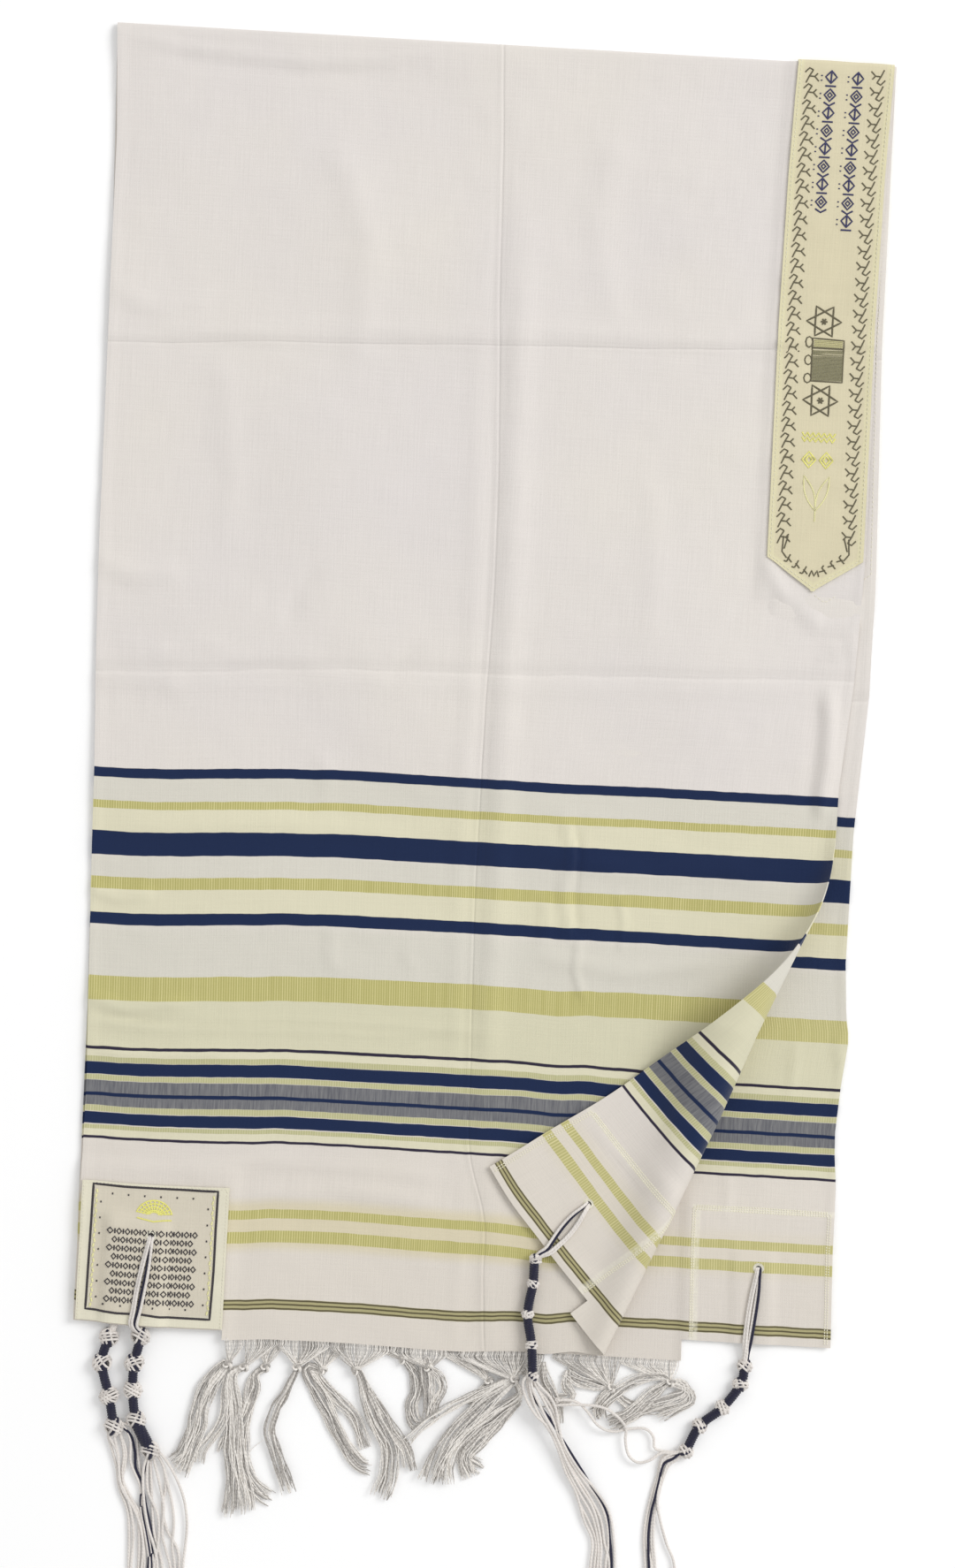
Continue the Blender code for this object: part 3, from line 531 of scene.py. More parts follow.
CREAM, WARM_CREAM = seen_colour(220, 216, 204), seen_colour(226, 221, 194)
DEEP_CREAM, HEM_CREAM = seen_colour(219, 215, 187), seen_colour(222, 212, 184)
NAVY, DARK_NAVY = seen_colour(20, 38, 75), seen_colour(44, 38, 58)
OLIVE, OLIVE_RIB = seen_colour(184, 178, 111), seen_colour(226, 218, 160)
LIGHT_OLIVE, LIGHT_RIB = seen_colour(190, 188, 142), seen_colour(213, 208, 172)
CHAMBRAY, CHAMBRAY_WEFT = seen_colour(94, 95, 103), seen_colour(142, 142, 142)
HEM_OLIVE, HEM_DARK = seen_colour(178, 171, 128), seen_colour(92, 85, 62)
CREAM_BANDS = [  # from, to (distance from the top fold), softness of the edge, yarn
    (0.5330, 0.5554, 0.004, "cream"), (0.5554, 0.5740, 0.003, "warm cream"), (0.5905, 0.6080, 0.004, "cream"),
    (0.6080, 0.6325, 0.003, "warm cream"), (0.6400, 0.6840, 0.010, "cream"), (0.6840, 0.7320, 0.004, "deep cream"),
    (0.7310, 0.7362, 0.001, "warm cream"), (0.7900, 0.7950, 0.001, "warm cream"),
    (0.8380, 0.8720, 0.010, "hem cream")]
STRIPES = [  # from, to (distance from the top fold), yarn
    (0.5280, 0.5349, "navy"), (0.5514, 0.5571, "olive"), (0.5733, 0.5901, "navy"), (0.6054, 0.6138, "olive"),
    (0.6306, 0.6391, "navy"), (0.6756, 0.6933, "olive"), (0.7284, 0.7307, "dark"), (0.7359, 0.7401, "light"),
    (0.7403, 0.7496, "navy"), (0.7499, 0.7539, "light"), (0.7541, 0.7728, "chambray"),
    (0.7632, 0.7658, "navy"), (0.7728, 0.7772, "light"), (0.7776, 0.7861, "navy"), (0.7868, 0.7900, "light"),
    (0.7951, 0.7971, "dark"), (0.8439, 0.8505, "olive"), (0.8592, 0.8676, "olive"),
    (0.9079, 0.9155, "hem"), (0.9081, 0.9093, "hem line"), (0.9110, 0.9122, "hem line"),
    (0.9141, 0.9153, "hem line")]
STRIPE_EDGE = 0.0006
REVERSE_BAND = 0.0056                          # how wide a patch shows through the cloth along its sides
RIB_PITCH = 0.0018
PLAIN_MASK, FULL_MASK = (0, 0, 0, 1), (1, 1, 1, 1)


def corner_span(corner):
    """Whether a corner is a left one, its layer (1 front, -1 back) and its patch's edges across."""
    left = corner.endswith("left")
    return left, 1 if corner.startswith("front") else -1, *PATCH_SPANS["left" if left else "right"]


cloth_material, tree, shader, cut_place = new_material("striped cloth", "cut")
u_cut, v_cut, reverse = parts_of(tree, cut_place)
woven = apply_effect(tree, weave, Cut=cut_place, Pitch=0.0007)
wander = calc(tree, "MULTIPLY_ADD", grain(tree, cut_place, 60.0), 0.0012, -0.0006)
distance = calc(tree, "ADD", calc(tree, "ABSOLUTE", v_cut), wander)
rib_wave = calc(tree, "SINE", calc(tree, "MULTIPLY", u_cut, 2 * math.pi / RIB_PITCH))
rib_mood = calc(tree, "MULTIPLY", grain(tree, cut_place, 1.0, (330, 4, 0)), 1.1)
rib = calc(tree, "MULTIPLY", calc(tree, "GREATER_THAN", rib_wave, 0.1), rib_mood)
hatch = calc(tree, "MULTIPLY_ADD", grain(tree, cut_place, 1.0, (900, 60, 0)), 1.6, -0.35)
warmth = grain(tree, cut_place, 5.0, detail=3.0)
ribbed_olive = tint(tree, rib, OLIVE, OLIVE_RIB)
yarns = {"navy": NAVY, "dark": DARK_NAVY, "hem": HEM_OLIVE, "hem line": HEM_DARK, "cream": CREAM,
         "warm cream": WARM_CREAM, "deep cream": DEEP_CREAM,
         "olive": tint(tree, calc(tree, "MULTIPLY", reverse, 0.12), ribbed_olive, WARM_CREAM),
         "light": tint(tree, rib, LIGHT_OLIVE, LIGHT_RIB),
         "chambray": tint(tree, hatch, CHAMBRAY, CHAMBRAY_WEFT)}
lower = add_node(tree, "ShaderNodeMapRange", {"Value": distance, "From Min": 0.45, "From Max": 0.92})
upper_ground, lower_ground = (tint(tree, warmth, *dyes) for dyes in (
    (seen_colour(226, 220, 220), seen_colour(234, 228, 217)), (seen_colour(221, 214, 208), seen_colour(229, 221, 206))))
color = tint(tree, lower.outputs[0], upper_ground, lower_ground)
yarns["hem cream"] = tint(tree, calc(tree, "MULTIPLY", reverse, 0.75), HEM_CREAM, color)
for start, end, edge, yarn in CREAM_BANDS + [(start, end, STRIPE_EDGE, yarn) for start, end, yarn in STRIPES]:
    color = apply_effect(tree, stripe, Ground=color, Yarn=yarns[yarn], Distance=distance, From=start, To=end,
                         Edge=edge)["Color"]
# the turned-in edges of the patches shine through on the reverse
mottle = calc(tree, "MULTIPLY_ADD", grain(tree, cut_place, 420.0), 1.3, -0.15)
for corner in EYELETS:
    left, way, low_u, high_u = corner_span(corner)
    side = calc(tree, "SUBTRACT", *((high_u, u_cut) if left else (u_cut, low_u)))
    top = calc(tree, "MULTIPLY_ADD", v_cut, 1.3 * way, 0.002 - 1.3 * PATCH_TOPS[corner])
    edges = apply_effect(tree, stripe, Ground=PLAIN_MASK, Yarn=FULL_MASK, Distance=calc(tree, "MINIMUM", side, top),
                         From=0.0010, To=0.0010 + REVERSE_BAND, Edge=0.002)["Mask"]
    shown = calc(tree, "MULTIPLY", calc(tree, "MULTIPLY", edges, reverse), mottle)
    color = tint(tree, calc(tree, "MULTIPLY", shown, 0.75), color, seen_colour(244, 240, 222))
relief = woven["Height"]
# the pressed fold lines add their grooves, and their painted highlight and shade to the colour
for pressed in pressed_lines(tree, cut_place):
    color = shade(tree, color, pressed["Tone"])
    relief = calc(tree, "ADD", relief, pressed["Height"])
dress(tree, shader, shade(tree, color, woven["Tone"]), relief, 0.0004)


def lines(*runs):
    """Grid lines from (start, end, spacing) runs."""
    marks = []
    for start, end, spacing in runs:
        steps = max(int(round((end - start) / spacing)), 1)
        marks += list(np.linspace(start, end, steps, endpoint=False))
    return np.array(marks + [runs[-1][1]])


def in_eyelet(u, v, hole):
    return (np.abs(u - hole[0]) < EYELET_HALF) & (np.abs(v - hole[1]) < EYELET_HALF)


def cloth_keeps(u, v):
    """The hemmed corners are shorter than the fringed end, and each has an eyelet."""
    kept = np.ones_like(u, bool)
    for corner, hole in EYELETS.items():
        left, way, *_ = corner_span(corner)
        kept &= ~((v * way > HEM_AT[corner]) & ((u < CORNER_LEFT) if left else (u > CORNER_RIGHT)))
        kept &= ~in_eyelet(u, v, hole)
    return kept


# the grid is finer where the cloth turns, and has lines on the eyelets' edges and on the hems
columns = np.unique(np.round(np.concatenate([
    [0.0, 0.0015, 0.004],
    lines((0.0060, 0.0409, 0.005), (0.0409, 0.0461, 0.0026), (0.0461, 0.0504, 0.0022), (0.0504, 0.0556, 0.0026),
          (0.0556, 0.107, 0.005), (0.107, 0.36, 0.0051), (0.36, 0.448, 0.0028), (0.448, 0.4994, 0.0028),
          (0.4994, 0.5046, 0.0026), (0.5046, 0.549, 0.0028)),
    [0.551, 0.5535, WIDTH]]), 6))
fold_marks = lines((0.0, 0.00314, 0.00079), (0.00314, 0.010, 0.0023), (0.010, 0.034, 0.004))
front_rows = lines((0.034, 0.54, 0.0062), (0.54, 0.8614, 0.0029), (0.8614, 0.8666, 0.0026),
                   (0.8666, 0.8679, 0.0013), (0.8679, 0.8731, 0.0026), (0.8731, 0.9208, 0.0028),
                   (0.9208, 0.930, 0.0031), (0.930, 0.937, 0.0035))
back_rows = lines((0.034, 0.44, 0.015), (0.44, 0.8614, 0.0084), (0.8614, 0.8666, 0.0026),
                  (0.8666, 0.9215, 0.006), (0.9215, 0.930, 0.0042), (0.930, 0.937, 0.0035))
rows = np.concatenate([-back_rows[:0:-1], -fold_marks[:0:-1], fold_marks, front_rows[1:]])
grid_v, grid_u = np.meshgrid(rows, columns, indexing="ij")
cloth = cloth_panel("shawl_cloth", grid_u, grid_v, cloth_material, keep=cloth_keeps)
spots = read_chart(cloth.data)
places = np.zeros(spots.size)
cloth.data.vertices.foreach_get("co", places)
from_face, from_reverse = (
    np.linalg.norm(places.reshape(-1, 3) - lay(spots[:, 0], spots[:, 1], side * CLOTH_WALL / 2), axis=1)
    for side in (1, -1))
mark_chart(cloth.data, from_face >= from_reverse)
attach(cloth, "root")
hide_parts("cloth_body")


# ---- Neckband --------------------------------------------------------------------------------
# A beige woven band with pointed ends, sewn on the face along the right edge and across the top
# fold. Its sprigs, stars and lozenges are embroidered: satin stitch that stands up from the band.

ON_FACE = CLOTH + GAP                          # a sewn-on piece, out from the middle of the cloth
THREAD_OUT = CLOTH_WALL / 2 + 0.0002           # a stitch, out from the middle of what it is worked on
BAND_MIDDLE, BAND_HIGH = BAND_LOW + BAND_WIDTH / 2, BAND_LOW + BAND_WIDTH
BEIGE, MARGIN = seen_colour(220, 211, 180), seen_colour(226, 219, 183)
BAND_CREASES = [
    (0.7, 1.6, [(480, 208.5), (520, 209.5), (556, 207.5)]),
    (-0.5, 2.2, [(484, 214.5), (556, 213)]),
    (0.9, 1.4, [(480, 286), (520, 285), (556, 283)]),
    (0.7, 1.6, [(490, 308), (515, 302), (556, 304)]),
    (0.6, 3, [(480, 160), (520, 159), (556, 156)]),
    (0.8, 4, [(520, 115), (556, 112)])]


def sewn_ground(name, base, margin, margin_depth):
    """The woven ground of a sewn-on piece; the third value of its chart is the way in from its edge."""
    material, tree, shader, place = new_material(name, "cut")
    woven = apply_effect(tree, weave, Cut=place, Pitch=0.0008)
    soil = grain(tree, place, 55.0, detail=3.0)
    edge = calc(tree, "ADD", parts_of(tree, place)[2], calc(tree, "MULTIPLY_ADD", soil, 0.0030, -0.0015))
    color = apply_effect(tree, stripe, Ground=margin, Yarn=base, Distance=edge, From=margin_depth, To=1.0,
                         Edge=0.0025)["Color"]
    color = shade(tree, color, calc(tree, "MULTIPLY_ADD", soil, 0.07, 0.965))
    # the pressed fold lines paint their highlight and shade into the colour
    for pressed in pressed_lines(tree, place):
        color = shade(tree, color, pressed["Tone"])
    dress(tree, shader, shade(tree, color, woven["Tone"]), woven["Height"], 0.0004, roughness=0.8, sheen=0.1)
    return material


def band_lift(u, v):
    """How far the middle of the band lies out from the middle of the cloth."""
    return ON_FACE + creased(u, v, BAND_CREASES) + 0.00025 * (1 + swells(u, v, 21, 0.06, 0.02))


band_u = BAND_LOW + np.concatenate([[0, 0.0012], np.linspace(0.004, BAND_WIDTH - 0.004, 22),
                                    [BAND_WIDTH - 0.0012, BAND_WIDTH]])
half_rows = np.concatenate([fold_marks, lines((0.034, 0.354, 0.0035), (0.354, BAND_TIP, 0.0015))[1:]])
band_v = np.concatenate([-half_rows[:0:-1], half_rows])
grid_v, grid_u = np.meshgrid(band_v, band_u, indexing="ij")
narrow = np.clip((BAND_TIP - np.abs(grid_v)) / (BAND_TIP - BAND_SHOULDER), 0.03, 1)
grid_u = BAND_MIDDLE + (grid_u - BAND_MIDDLE) * narrow
neckband = cloth_panel("neckband_cloth", grid_u, grid_v, sewn_ground("beige band", BEIGE, MARGIN, 0.0045),
                       band_lift(grid_u, grid_v))
slant = math.atan2(BAND_TIP - BAND_SHOULDER, BAND_WIDTH / 2)
spots = read_chart(neckband.data)
off_middle, off_tip = np.abs(spots[:, 0] - BAND_MIDDLE), BAND_TIP - np.abs(spots[:, 1])
mark_chart(neckband.data, np.minimum(BAND_WIDTH / 2 - off_middle,
                                     (off_tip - off_middle * math.tan(slant)) * math.cos(slant)))
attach(neckband, "root")
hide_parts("neckband")


def shape(tree, kind, feeds, **settings):
    """One step of a geometry tree."""
    return add_node(tree, "GeometryNode" + kind, feeds, **settings).outputs[0]


# a yarn laid along lines, as a tube; a flat one is satin stitch
laid_yarn, entry, result = effect(
    "laid yarn", [("Lines", "Geometry"), ("Sides", "Int"), ("Flatness", "Float"), ("Yarn", "Material")],
    [("Yarn", "Geometry")], "GeometryNodeTree")
girth = add_node(laid_yarn, "GeometryNodeInputNamedAttribute", {"Name": "girth"}, data_type="FLOAT")
girth = girth.outputs["Attribute"]
length = add_node(laid_yarn, "GeometryNodeSplineParameter", {}).outputs["Length"]
core = shape(laid_yarn, "MeshToCurve", {"Mesh": entry["Lines"]})
core = shape(laid_yarn, "SetCurveNormal", {"Curve": core}, mode="Z_UP")
core = shape(laid_yarn, "SetCurveRadius", {"Curve": core, "Radius": girth})
core = shape(laid_yarn, "StoreNamedAttribute", {"Geometry": core, "Name": "run", "Value": length},
             data_type="FLOAT", domain="POINT")
ring = shape(laid_yarn, "CurvePrimitiveCircle", {"Resolution": entry["Sides"], "Radius": 1.0})
ring = shape(laid_yarn, "StoreNamedAttribute",
             {"Geometry": ring, "Name": "turn", "Value": shape(laid_yarn, "InputPosition", {})},
             data_type="FLOAT_VECTOR", domain="POINT")
press = add_node(laid_yarn, "ShaderNodeCombineXYZ", {"X": 1.0, "Y": entry["Flatness"], "Z": 1.0})
ring = shape(laid_yarn, "Transform", {"Geometry": ring, "Scale": press.outputs[0]})
tube = shape(laid_yarn, "CurveToMesh", {"Curve": core, "Profile Curve": ring, "Scale": girth, "Fill Caps": True})
tube = shape(laid_yarn, "SetShadeSmooth", {"Geometry": tube})
tube = shape(laid_yarn, "RealizeInstances", {"Geometry": tube})
feed(laid_yarn, result, {0: shape(laid_yarn, "SetMaterial", {"Geometry": tube, "Material": entry["Yarn"]})})


def line_mesh(name, paths, girths, strand_shades=()):
    """A mesh of edges only: one chain of points for each path, closed where a path ends on its start."""
    points, edges, widths, strand_shade_values = [], [], [], []
    for path, width, dark in zip(paths, girths, list(strand_shades) + [0.0] * len(paths)):
        path = np.asarray(path, float)
        closed = len(path) > 3 and np.linalg.norm(path[0] - path[-1]) < 1e-7
        first, count = len(points), len(path) - closed
        points += path[:count].tolist()
        widths += np.broadcast_to(width, len(path))[:count].tolist()
        strand_shade_values += [dark] * count
        edges += [(first + k, first + k + 1) for k in range(count - 1)]
        if closed:
            edges.append((first + count - 1, first))
    mesh = bpy.data.meshes.new(name)
    mesh.from_pydata(points, edges, [])
    mesh.attributes.new("girth", "FLOAT", "POINT").data.foreach_set("value", widths)
    # each path's dark value is the painted shade its thread gets, between strands and near knots
    mesh.attributes.new("dark", "FLOAT", "POINT").data.foreach_set("value", strand_shade_values)
    return mesh


def grow(name, mesh, tree, **inputs):
    """Run a geometry tree on a mesh and keep the result as a plain mesh object."""
    obj = bpy.data.objects.new(name, mesh)
    bpy.context.scene.collection.objects.link(obj)
    modifier = obj.modifiers.new("tree", "NODES")
    modifier.node_group = tree
    sockets = {item.name: item.identifier for item in tree.interface.items_tree if item.in_out == "INPUT"}
    for label, value in inputs.items():
        modifier[sockets[label]] = value
    baked = bpy.data.meshes.new_from_object(obj.evaluated_get(bpy.context.evaluated_depsgraph_get()))
    obj.modifiers.clear()
    obj.data = baked
    obj.data.name = name
    return obj


def draw_yarn(name, paths, girths, material, sides=6, flatness=1.0, strand_shades=()):
    mesh = line_mesh(name, paths, girths, strand_shades)
    return grow(name, mesh, laid_yarn, Sides=sides, Flatness=flatness, Yarn=material)


def along_line(line, spacing):
    """Points at an even spacing along straight runs, corners kept."""
    line, points = np.asarray(line, float), []
    for start, end in zip(line, line[1:]):
        count = max(int(math.ceil(np.linalg.norm(end - start) / spacing)), 1)
        points += [start + (end - start) * k / count for k in range(count)]
    return np.array(points + [line[-1]])


def lay_lines(runs, lift):
    """Where lines of points (u, v) of the cut lie; lift may follow the place."""
    spots = np.concatenate(runs)
    laid = lay(spots[:, 0], spots[:, 1], lift(spots[:, 0], spots[:, 1]) if callable(lift) else lift)
    return np.split(laid, np.cumsum([len(run) for run in runs])[:-1])


def embroider(name, figures, lift, width, material, spacing=0.003):
    """Satin-stitch lines (u, v) worked on a face that lies lift out from the middle of the cloth."""
    drawn = lay_lines([along_line(figure, spacing) for figure in figures], lift)
    return draw_yarn(name, drawn, [width / 2] * len(drawn), material, 6, 0.5)


def thread_with_painted_shade(name, color, dark, twist=0.0016, sheen=0.3, roughness=0.75):
    """Spun thread: its plies turn round it, painted lighter and darker as they turn (painted light and shade), it has
    paler and darker lengths, and each strand's dark value mixes in the dark colour as painted shade.
    """
    material, tree, shader, turn = new_material(name, "turn")
    length, strand_shade = (add_node(tree, "ShaderNodeAttribute", {}, attribute_name=label).outputs["Fac"]
                     for label in ("run", "dark"))
    spot = add_node(tree, "ShaderNodeTexCoord", {}).outputs["Object"]
    side, up, _ = parts_of(tree, turn)
    along = calc(tree, "MULTIPLY", length, 2 * math.pi / twist)
    ply = calc(tree, "SINE", calc(tree, "MULTIPLY_ADD", calc(tree, "ARCTAN2", up, side), 2.0, along))
    fuzz, mood = grain(tree, spot, 900.0, (1, 1, 1), 3.0), grain(tree, spot, 60.0, (1, 1, 1))
    tone = calc(tree, "MULTIPLY_ADD", fuzz, 0.25, calc(tree, "MULTIPLY_ADD", ply, 0.07, 0.72))
    tone = calc(tree, "MULTIPLY_ADD", mood, 0.30, tone)
    # the dark colour mixed in along the plies and by each strand's dark value is painted shade
    share = calc(tree, "ADD", calc(tree, "MULTIPLY_ADD", ply, 0.10, 0.12), strand_shade)
    dress(tree, shader, shade(tree, tint(tree, share, color, dark), tone),
          calc(tree, "MULTIPLY_ADD", ply, 0.5, fuzz), 0.0003, roughness, sheen)
    return material


# each silk's second colour is the painted shade of its ply grooves
OLIVE_SILK = thread_with_painted_shade("grey olive silk", seen_colour(104, 97, 74), seen_colour(66, 62, 48), roughness=0.45)
FRAME_SILK = thread_with_painted_shade("dark frame silk", seen_colour(58, 52, 56), seen_colour(36, 32, 40), roughness=0.5)
NAVY_SILK = thread_with_painted_shade("navy silk", seen_colour(56, 56, 98), seen_colour(34, 34, 66), roughness=0.45)
HATCH_SILK = thread_with_painted_shade("soft olive silk", seen_colour(150, 145, 112), seen_colour(112, 108, 80), roughness=0.45)
GOLD_SILK = thread_with_painted_shade("bright gold silk", seen_colour(240, 236, 132), seen_colour(222, 214, 100), roughness=0.35)
PALE_GOLD = thread_with_painted_shade("faint gold silk", seen_colour(238, 234, 176), seen_colour(226, 220, 156), roughness=0.35)
PANEL_GOLD = thread_with_painted_shade("olive gold silk", seen_colour(206, 200, 148), seen_colour(170, 164, 108), roughness=0.4)

# the border: a vine of sprigs down both sides, turned round the point
SPRIG = [  # strokes of one sprig, millimetres across the border and down it
    [(-3.4, 9.4), (-1.6, 5.2), (0.6, 1.4)], [(0.6, 1.4), (-1.8, 0.2), (-4.4, 3.0)],
    [(-1.6, 5.2), (1.8, 5.4), (4.6, 8.2)], [(1.8, 5.4), (3.6, 3.4)]]
TWIG = [[(0, 0), (4.4, 1.2)], [(0.4, -2.8), (1.2, 2.8)], [(1.2, 2.8), (-0.8, 3.6)]]
SPRIGS, SPRIG_PITCH, SPRIG_SIZE = 30, 0.0114, 1.15
BORDER_INSET = 0.0235                          # the turn of the border, out from the middle of the band


def place_figure(strokes, u, v, turn=0.0, size=1.0):
    """Strokes in millimetres moved to u, v of the cut and turned there."""
    c, s = math.cos(turn), math.sin(turn)
    return [[(u + size * MM * (x * c - y * s), v + size * MM * (x * s + y * c)) for x, y in stroke]
            for stroke in strokes]


band_sprigs = []
for k in range(SPRIGS):
    start = 0.0055 + k * SPRIG_PITCH
    band_sprigs += place_figure(SPRIG, BAND_LOW + 0.0105, start, 0.0, SPRIG_SIZE)
    band_sprigs += place_figure(SPRIG, BAND_HIGH - 0.0110, start + 0.0098, math.pi, SPRIG_SIZE)
border_end = SPRIGS * SPRIG_PITCH + 0.0035
for side in (-1, 1):
    edge = BAND_MIDDLE + side * BORDER_INSET
    band_sprigs.append([(edge, border_end - 0.004), (edge + side * 0.0006, border_end + 0.007),
                        (edge - side * 0.003, border_end + 0.0115)])
    band_sprigs.append([(edge - side * 0.0032, border_end - 0.004), (edge - side * 0.0008, border_end + 0.005)])
    for run in (0.0045, 0.0117, 0.0189):
        band_sprigs += place_figure(TWIG, edge - side * run * math.cos(slant),
                                    border_end + 0.0085 + run * math.sin(slant),
                                    slant if side < 0 else math.pi - slant)
band_sprigs.append([(BAND_MIDDLE - 0.0035, 0.3695), (BAND_MIDDLE - 0.002, 0.3650), (BAND_MIDDLE, 0.3690),
                    (BAND_MIDDLE + 0.002, 0.3650), (BAND_MIDDLE + 0.0035, 0.3695)])


def ring_of(u, v, wide, tall, count, turn=0.0):
    """A closed ring of so many corners; four make a lozenge."""
    angles = [turn + 2 * math.pi * k / count for k in range(count)]
    points = [(u + wide * math.cos(a), v + tall * math.sin(a)) for a in angles]
    return points + points[:1]


# two six-pointed stars, and a hatched panel between them
STAR_U, STAR_REACH, STAR_HEART = BAND_LOW + 0.0325, 0.0125, 0.0024
stars = []
for star_v in (0.1865, 0.2433):
    stars += [ring_of(STAR_U, star_v, STAR_REACH, STAR_REACH, 3, turn) for turn in (0.0, math.pi / 3)]
    for k in range(3):
        reach_u, reach_v = STAR_HEART * math.cos(k * math.pi / 3), STAR_HEART * math.sin(k * math.pi / 3)
        stars.append([(STAR_U - reach_u, star_v - reach_v), (STAR_U + reach_u, star_v + reach_v)])
    stars.append(ring_of(STAR_U, star_v, 0.0010, 0.0010, 6))
PANEL_U, PANEL_V = BAND_LOW + 0.0365, 0.2146


def panel_line(*points):
    """A line from points in millimetres from the middle of the panel."""
    return [(PANEL_U + a * MM, PANEL_V + b * MM) for a, b in points]


panel_lines = [panel_line((-11, -8 + 0.85 * k), (10.6, -8.4 + 0.85 * k)) for k in range(27)]
panel_gold = [panel_line((-10.5, -14.2 + 0.95 * k), (10, -14.2 + 0.95 * k)) for k in range(5)]
panel_frame = [panel_line((-11.5, -15.5), (11, -15), (11, 15), (-11.5, 15), (-11.5, -15.5)),
               panel_line((-11.5, -9.5), (11, -9.5)), panel_line((-11.5, -8), (11, -8))]
panel_frame += [ring_of(PANEL_U - 0.0140, PANEL_V - 0.013 + k * 0.013, 0.0026, 0.0034, 8) for k in range(3)]

# zigzags and lozenges in bright gold, and two leaves on a stem in pale gold
LEAF_FOOT, LEAF_BELLY = np.array([STAR_U, 0.3225]), 0.0031
gold_figures = [[(STAR_U - 0.0120 + 0.0020 * k, line_v + 0.0032 * (k % 2)) for k in range(13)]
                for line_v in (0.2665, 0.2700)]
faint_figures = [[tuple(LEAF_FOOT), (STAR_U, 0.3300)]]
for side in (-1, 1):
    gold_figures += [ring_of(STAR_U + side * 0.0062, 0.2860, 0.0048 * size, 0.0058 * size, 4) for size in (1.0, 0.5)]
    lean = np.array([side * 0.0092, -0.0250])
    belly = np.array([-lean[1], lean[0]]) / np.hypot(*lean) * LEAF_BELLY
    shares = np.linspace(0, 1, 11)
    outline = [LEAF_FOOT + lean * share + belly * math.sin(math.pi * share) for share in shares]
    outline += [LEAF_FOOT + lean * share - belly * math.sin(math.pi * share) for share in shares[-2:0:-1]]
    faint_figures.append([tuple(point) for point in outline + outline[:1]])

# two chains of lozenges, chevrons and dots along the upper half
CHAIN_PITCH = 0.0128
chain_figures = []
for middle, far in ((0.0245, 0.120), (0.0435, 0.127)):
    for k in range(int((far - 0.006) / CHAIN_PITCH)):
        u, v = BAND_LOW + middle, 0.0115 + k * CHAIN_PITCH
        chain_figures.append(ring_of(u, v, 0.0040, 0.0044, 4))
        if k % 2:
            chain_figures.append([(u - 0.0040, v + 0.0052), (u, v + 0.0076), (u + 0.0040, v + 0.0052)])
            chain_figures.append(ring_of(u, v, 0.0016, 0.0018, 4))
        else:
            chain_figures.append([(u - 0.0038, v + 0.0064), (u + 0.0038, v + 0.0064)])
            chain_figures.append([(u, v - 0.0044), (u, v + 0.0044)])
        chain_figures += [[(u - 0.0068, v + start), (u - 0.0068, v + start + 0.0008)] for start in (-0.0012, 0.0022)]


def band_skin(u, v):
    return band_lift(u, v) + THREAD_OUT


for name, figures, width, silk in (
        ("sprigs", band_sprigs, 0.00105, OLIVE_SILK), ("stars", stars, 0.0013, OLIVE_SILK),
        ("panel_frame", panel_frame, 0.0010, OLIVE_SILK), ("panel_hatching", panel_lines, 0.00075, HATCH_SILK),
        ("panel_gold", panel_gold, 0.0008, PANEL_GOLD), ("gold_zigzags", gold_figures, 0.0011, GOLD_SILK),
        ("leaves", faint_figures, 0.0009, PALE_GOLD), ("lozenge_chains", chain_figures, 0.0013, NAVY_SILK)):
    over_fold = [[(u, -v) for u, v in figure] for figure in figures]
    piece = embroider("neckband_" + name, figures + over_fold, band_skin, width, silk)
    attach(piece, "root")


# ---- Corner patches --------------------------------------------------------------------------
# Four squares of beige satin sewn on the face at the corners to strengthen them, each with an
# embroidered frame, a block of small lozenges and bars and a gold fan, and an eyelet through it.

PATCH_BEIGE, PATCH_MARGIN = seen_colour(217, 209, 191), seen_colour(230, 225, 204)
FRAME_LEFT, FRAME_RIGHT, FRAME_TOP, FRAME_BOTTOM = 0.0075, 0.0975, 0.0022, 0.0938
PATCH_MIDDLE = (FRAME_LEFT + FRAME_RIGHT) / 2
PATCH_SHORT = 0.001                            # how far a patch ends before the hem
PATCH_CREASES = [
    (0.7, 2, [(5, 850), (40, 853), (75, 849)]),
    (0.8, 2.5, [(66, 905), (85, 901), (108, 903)]),
    (0.7, 3, [(30, 880), (33, 900), (30, 925)]),
    (0.6, 3, [(478, 860), (500, 865), (540, 861)])]
patch_material = sewn_ground("beige patch", PATCH_BEIGE, PATCH_MARGIN, 0.0006)


def patch_lift(u, v):
    """How far the middle of a patch lies out from the middle of the cloth."""
    return ON_FACE + np.maximum(creased(u, v, PATCH_CREASES), 0) + 0.0002 * (1 + swells(u, v, 31, 0.05, 0.02))


def patch_skin(u, v):
    return patch_lift(u, v) + THREAD_OUT


# the figures are drawn from the patch's own corner, across it and down it
frame_lines = [[(FRAME_LEFT + 0.0006, FRAME_TOP), (0.030, FRAME_TOP + 0.0004), (0.060, FRAME_TOP + 0.0001),
                (FRAME_RIGHT, FRAME_TOP + 0.0006), (FRAME_RIGHT - 0.0004, 0.030), (FRAME_RIGHT - 0.0002, 0.060),
                (FRAME_RIGHT - 0.0012, FRAME_BOTTOM + 0.0008), (0.060, FRAME_BOTTOM + 0.0006),
                (0.048, FRAME_BOTTOM - 0.0004), (0.030, FRAME_BOTTOM), (FRAME_LEFT - 0.0006, FRAME_BOTTOM - 0.0006),
                (FRAME_LEFT, 0.060), (FRAME_LEFT + 0.0003, 0.030), (FRAME_LEFT + 0.0006, FRAME_TOP)]]
DOT, DOT_STEP_DOWN, DOT_STEP_ACROSS = 0.0010, 0.0115, 0.0116
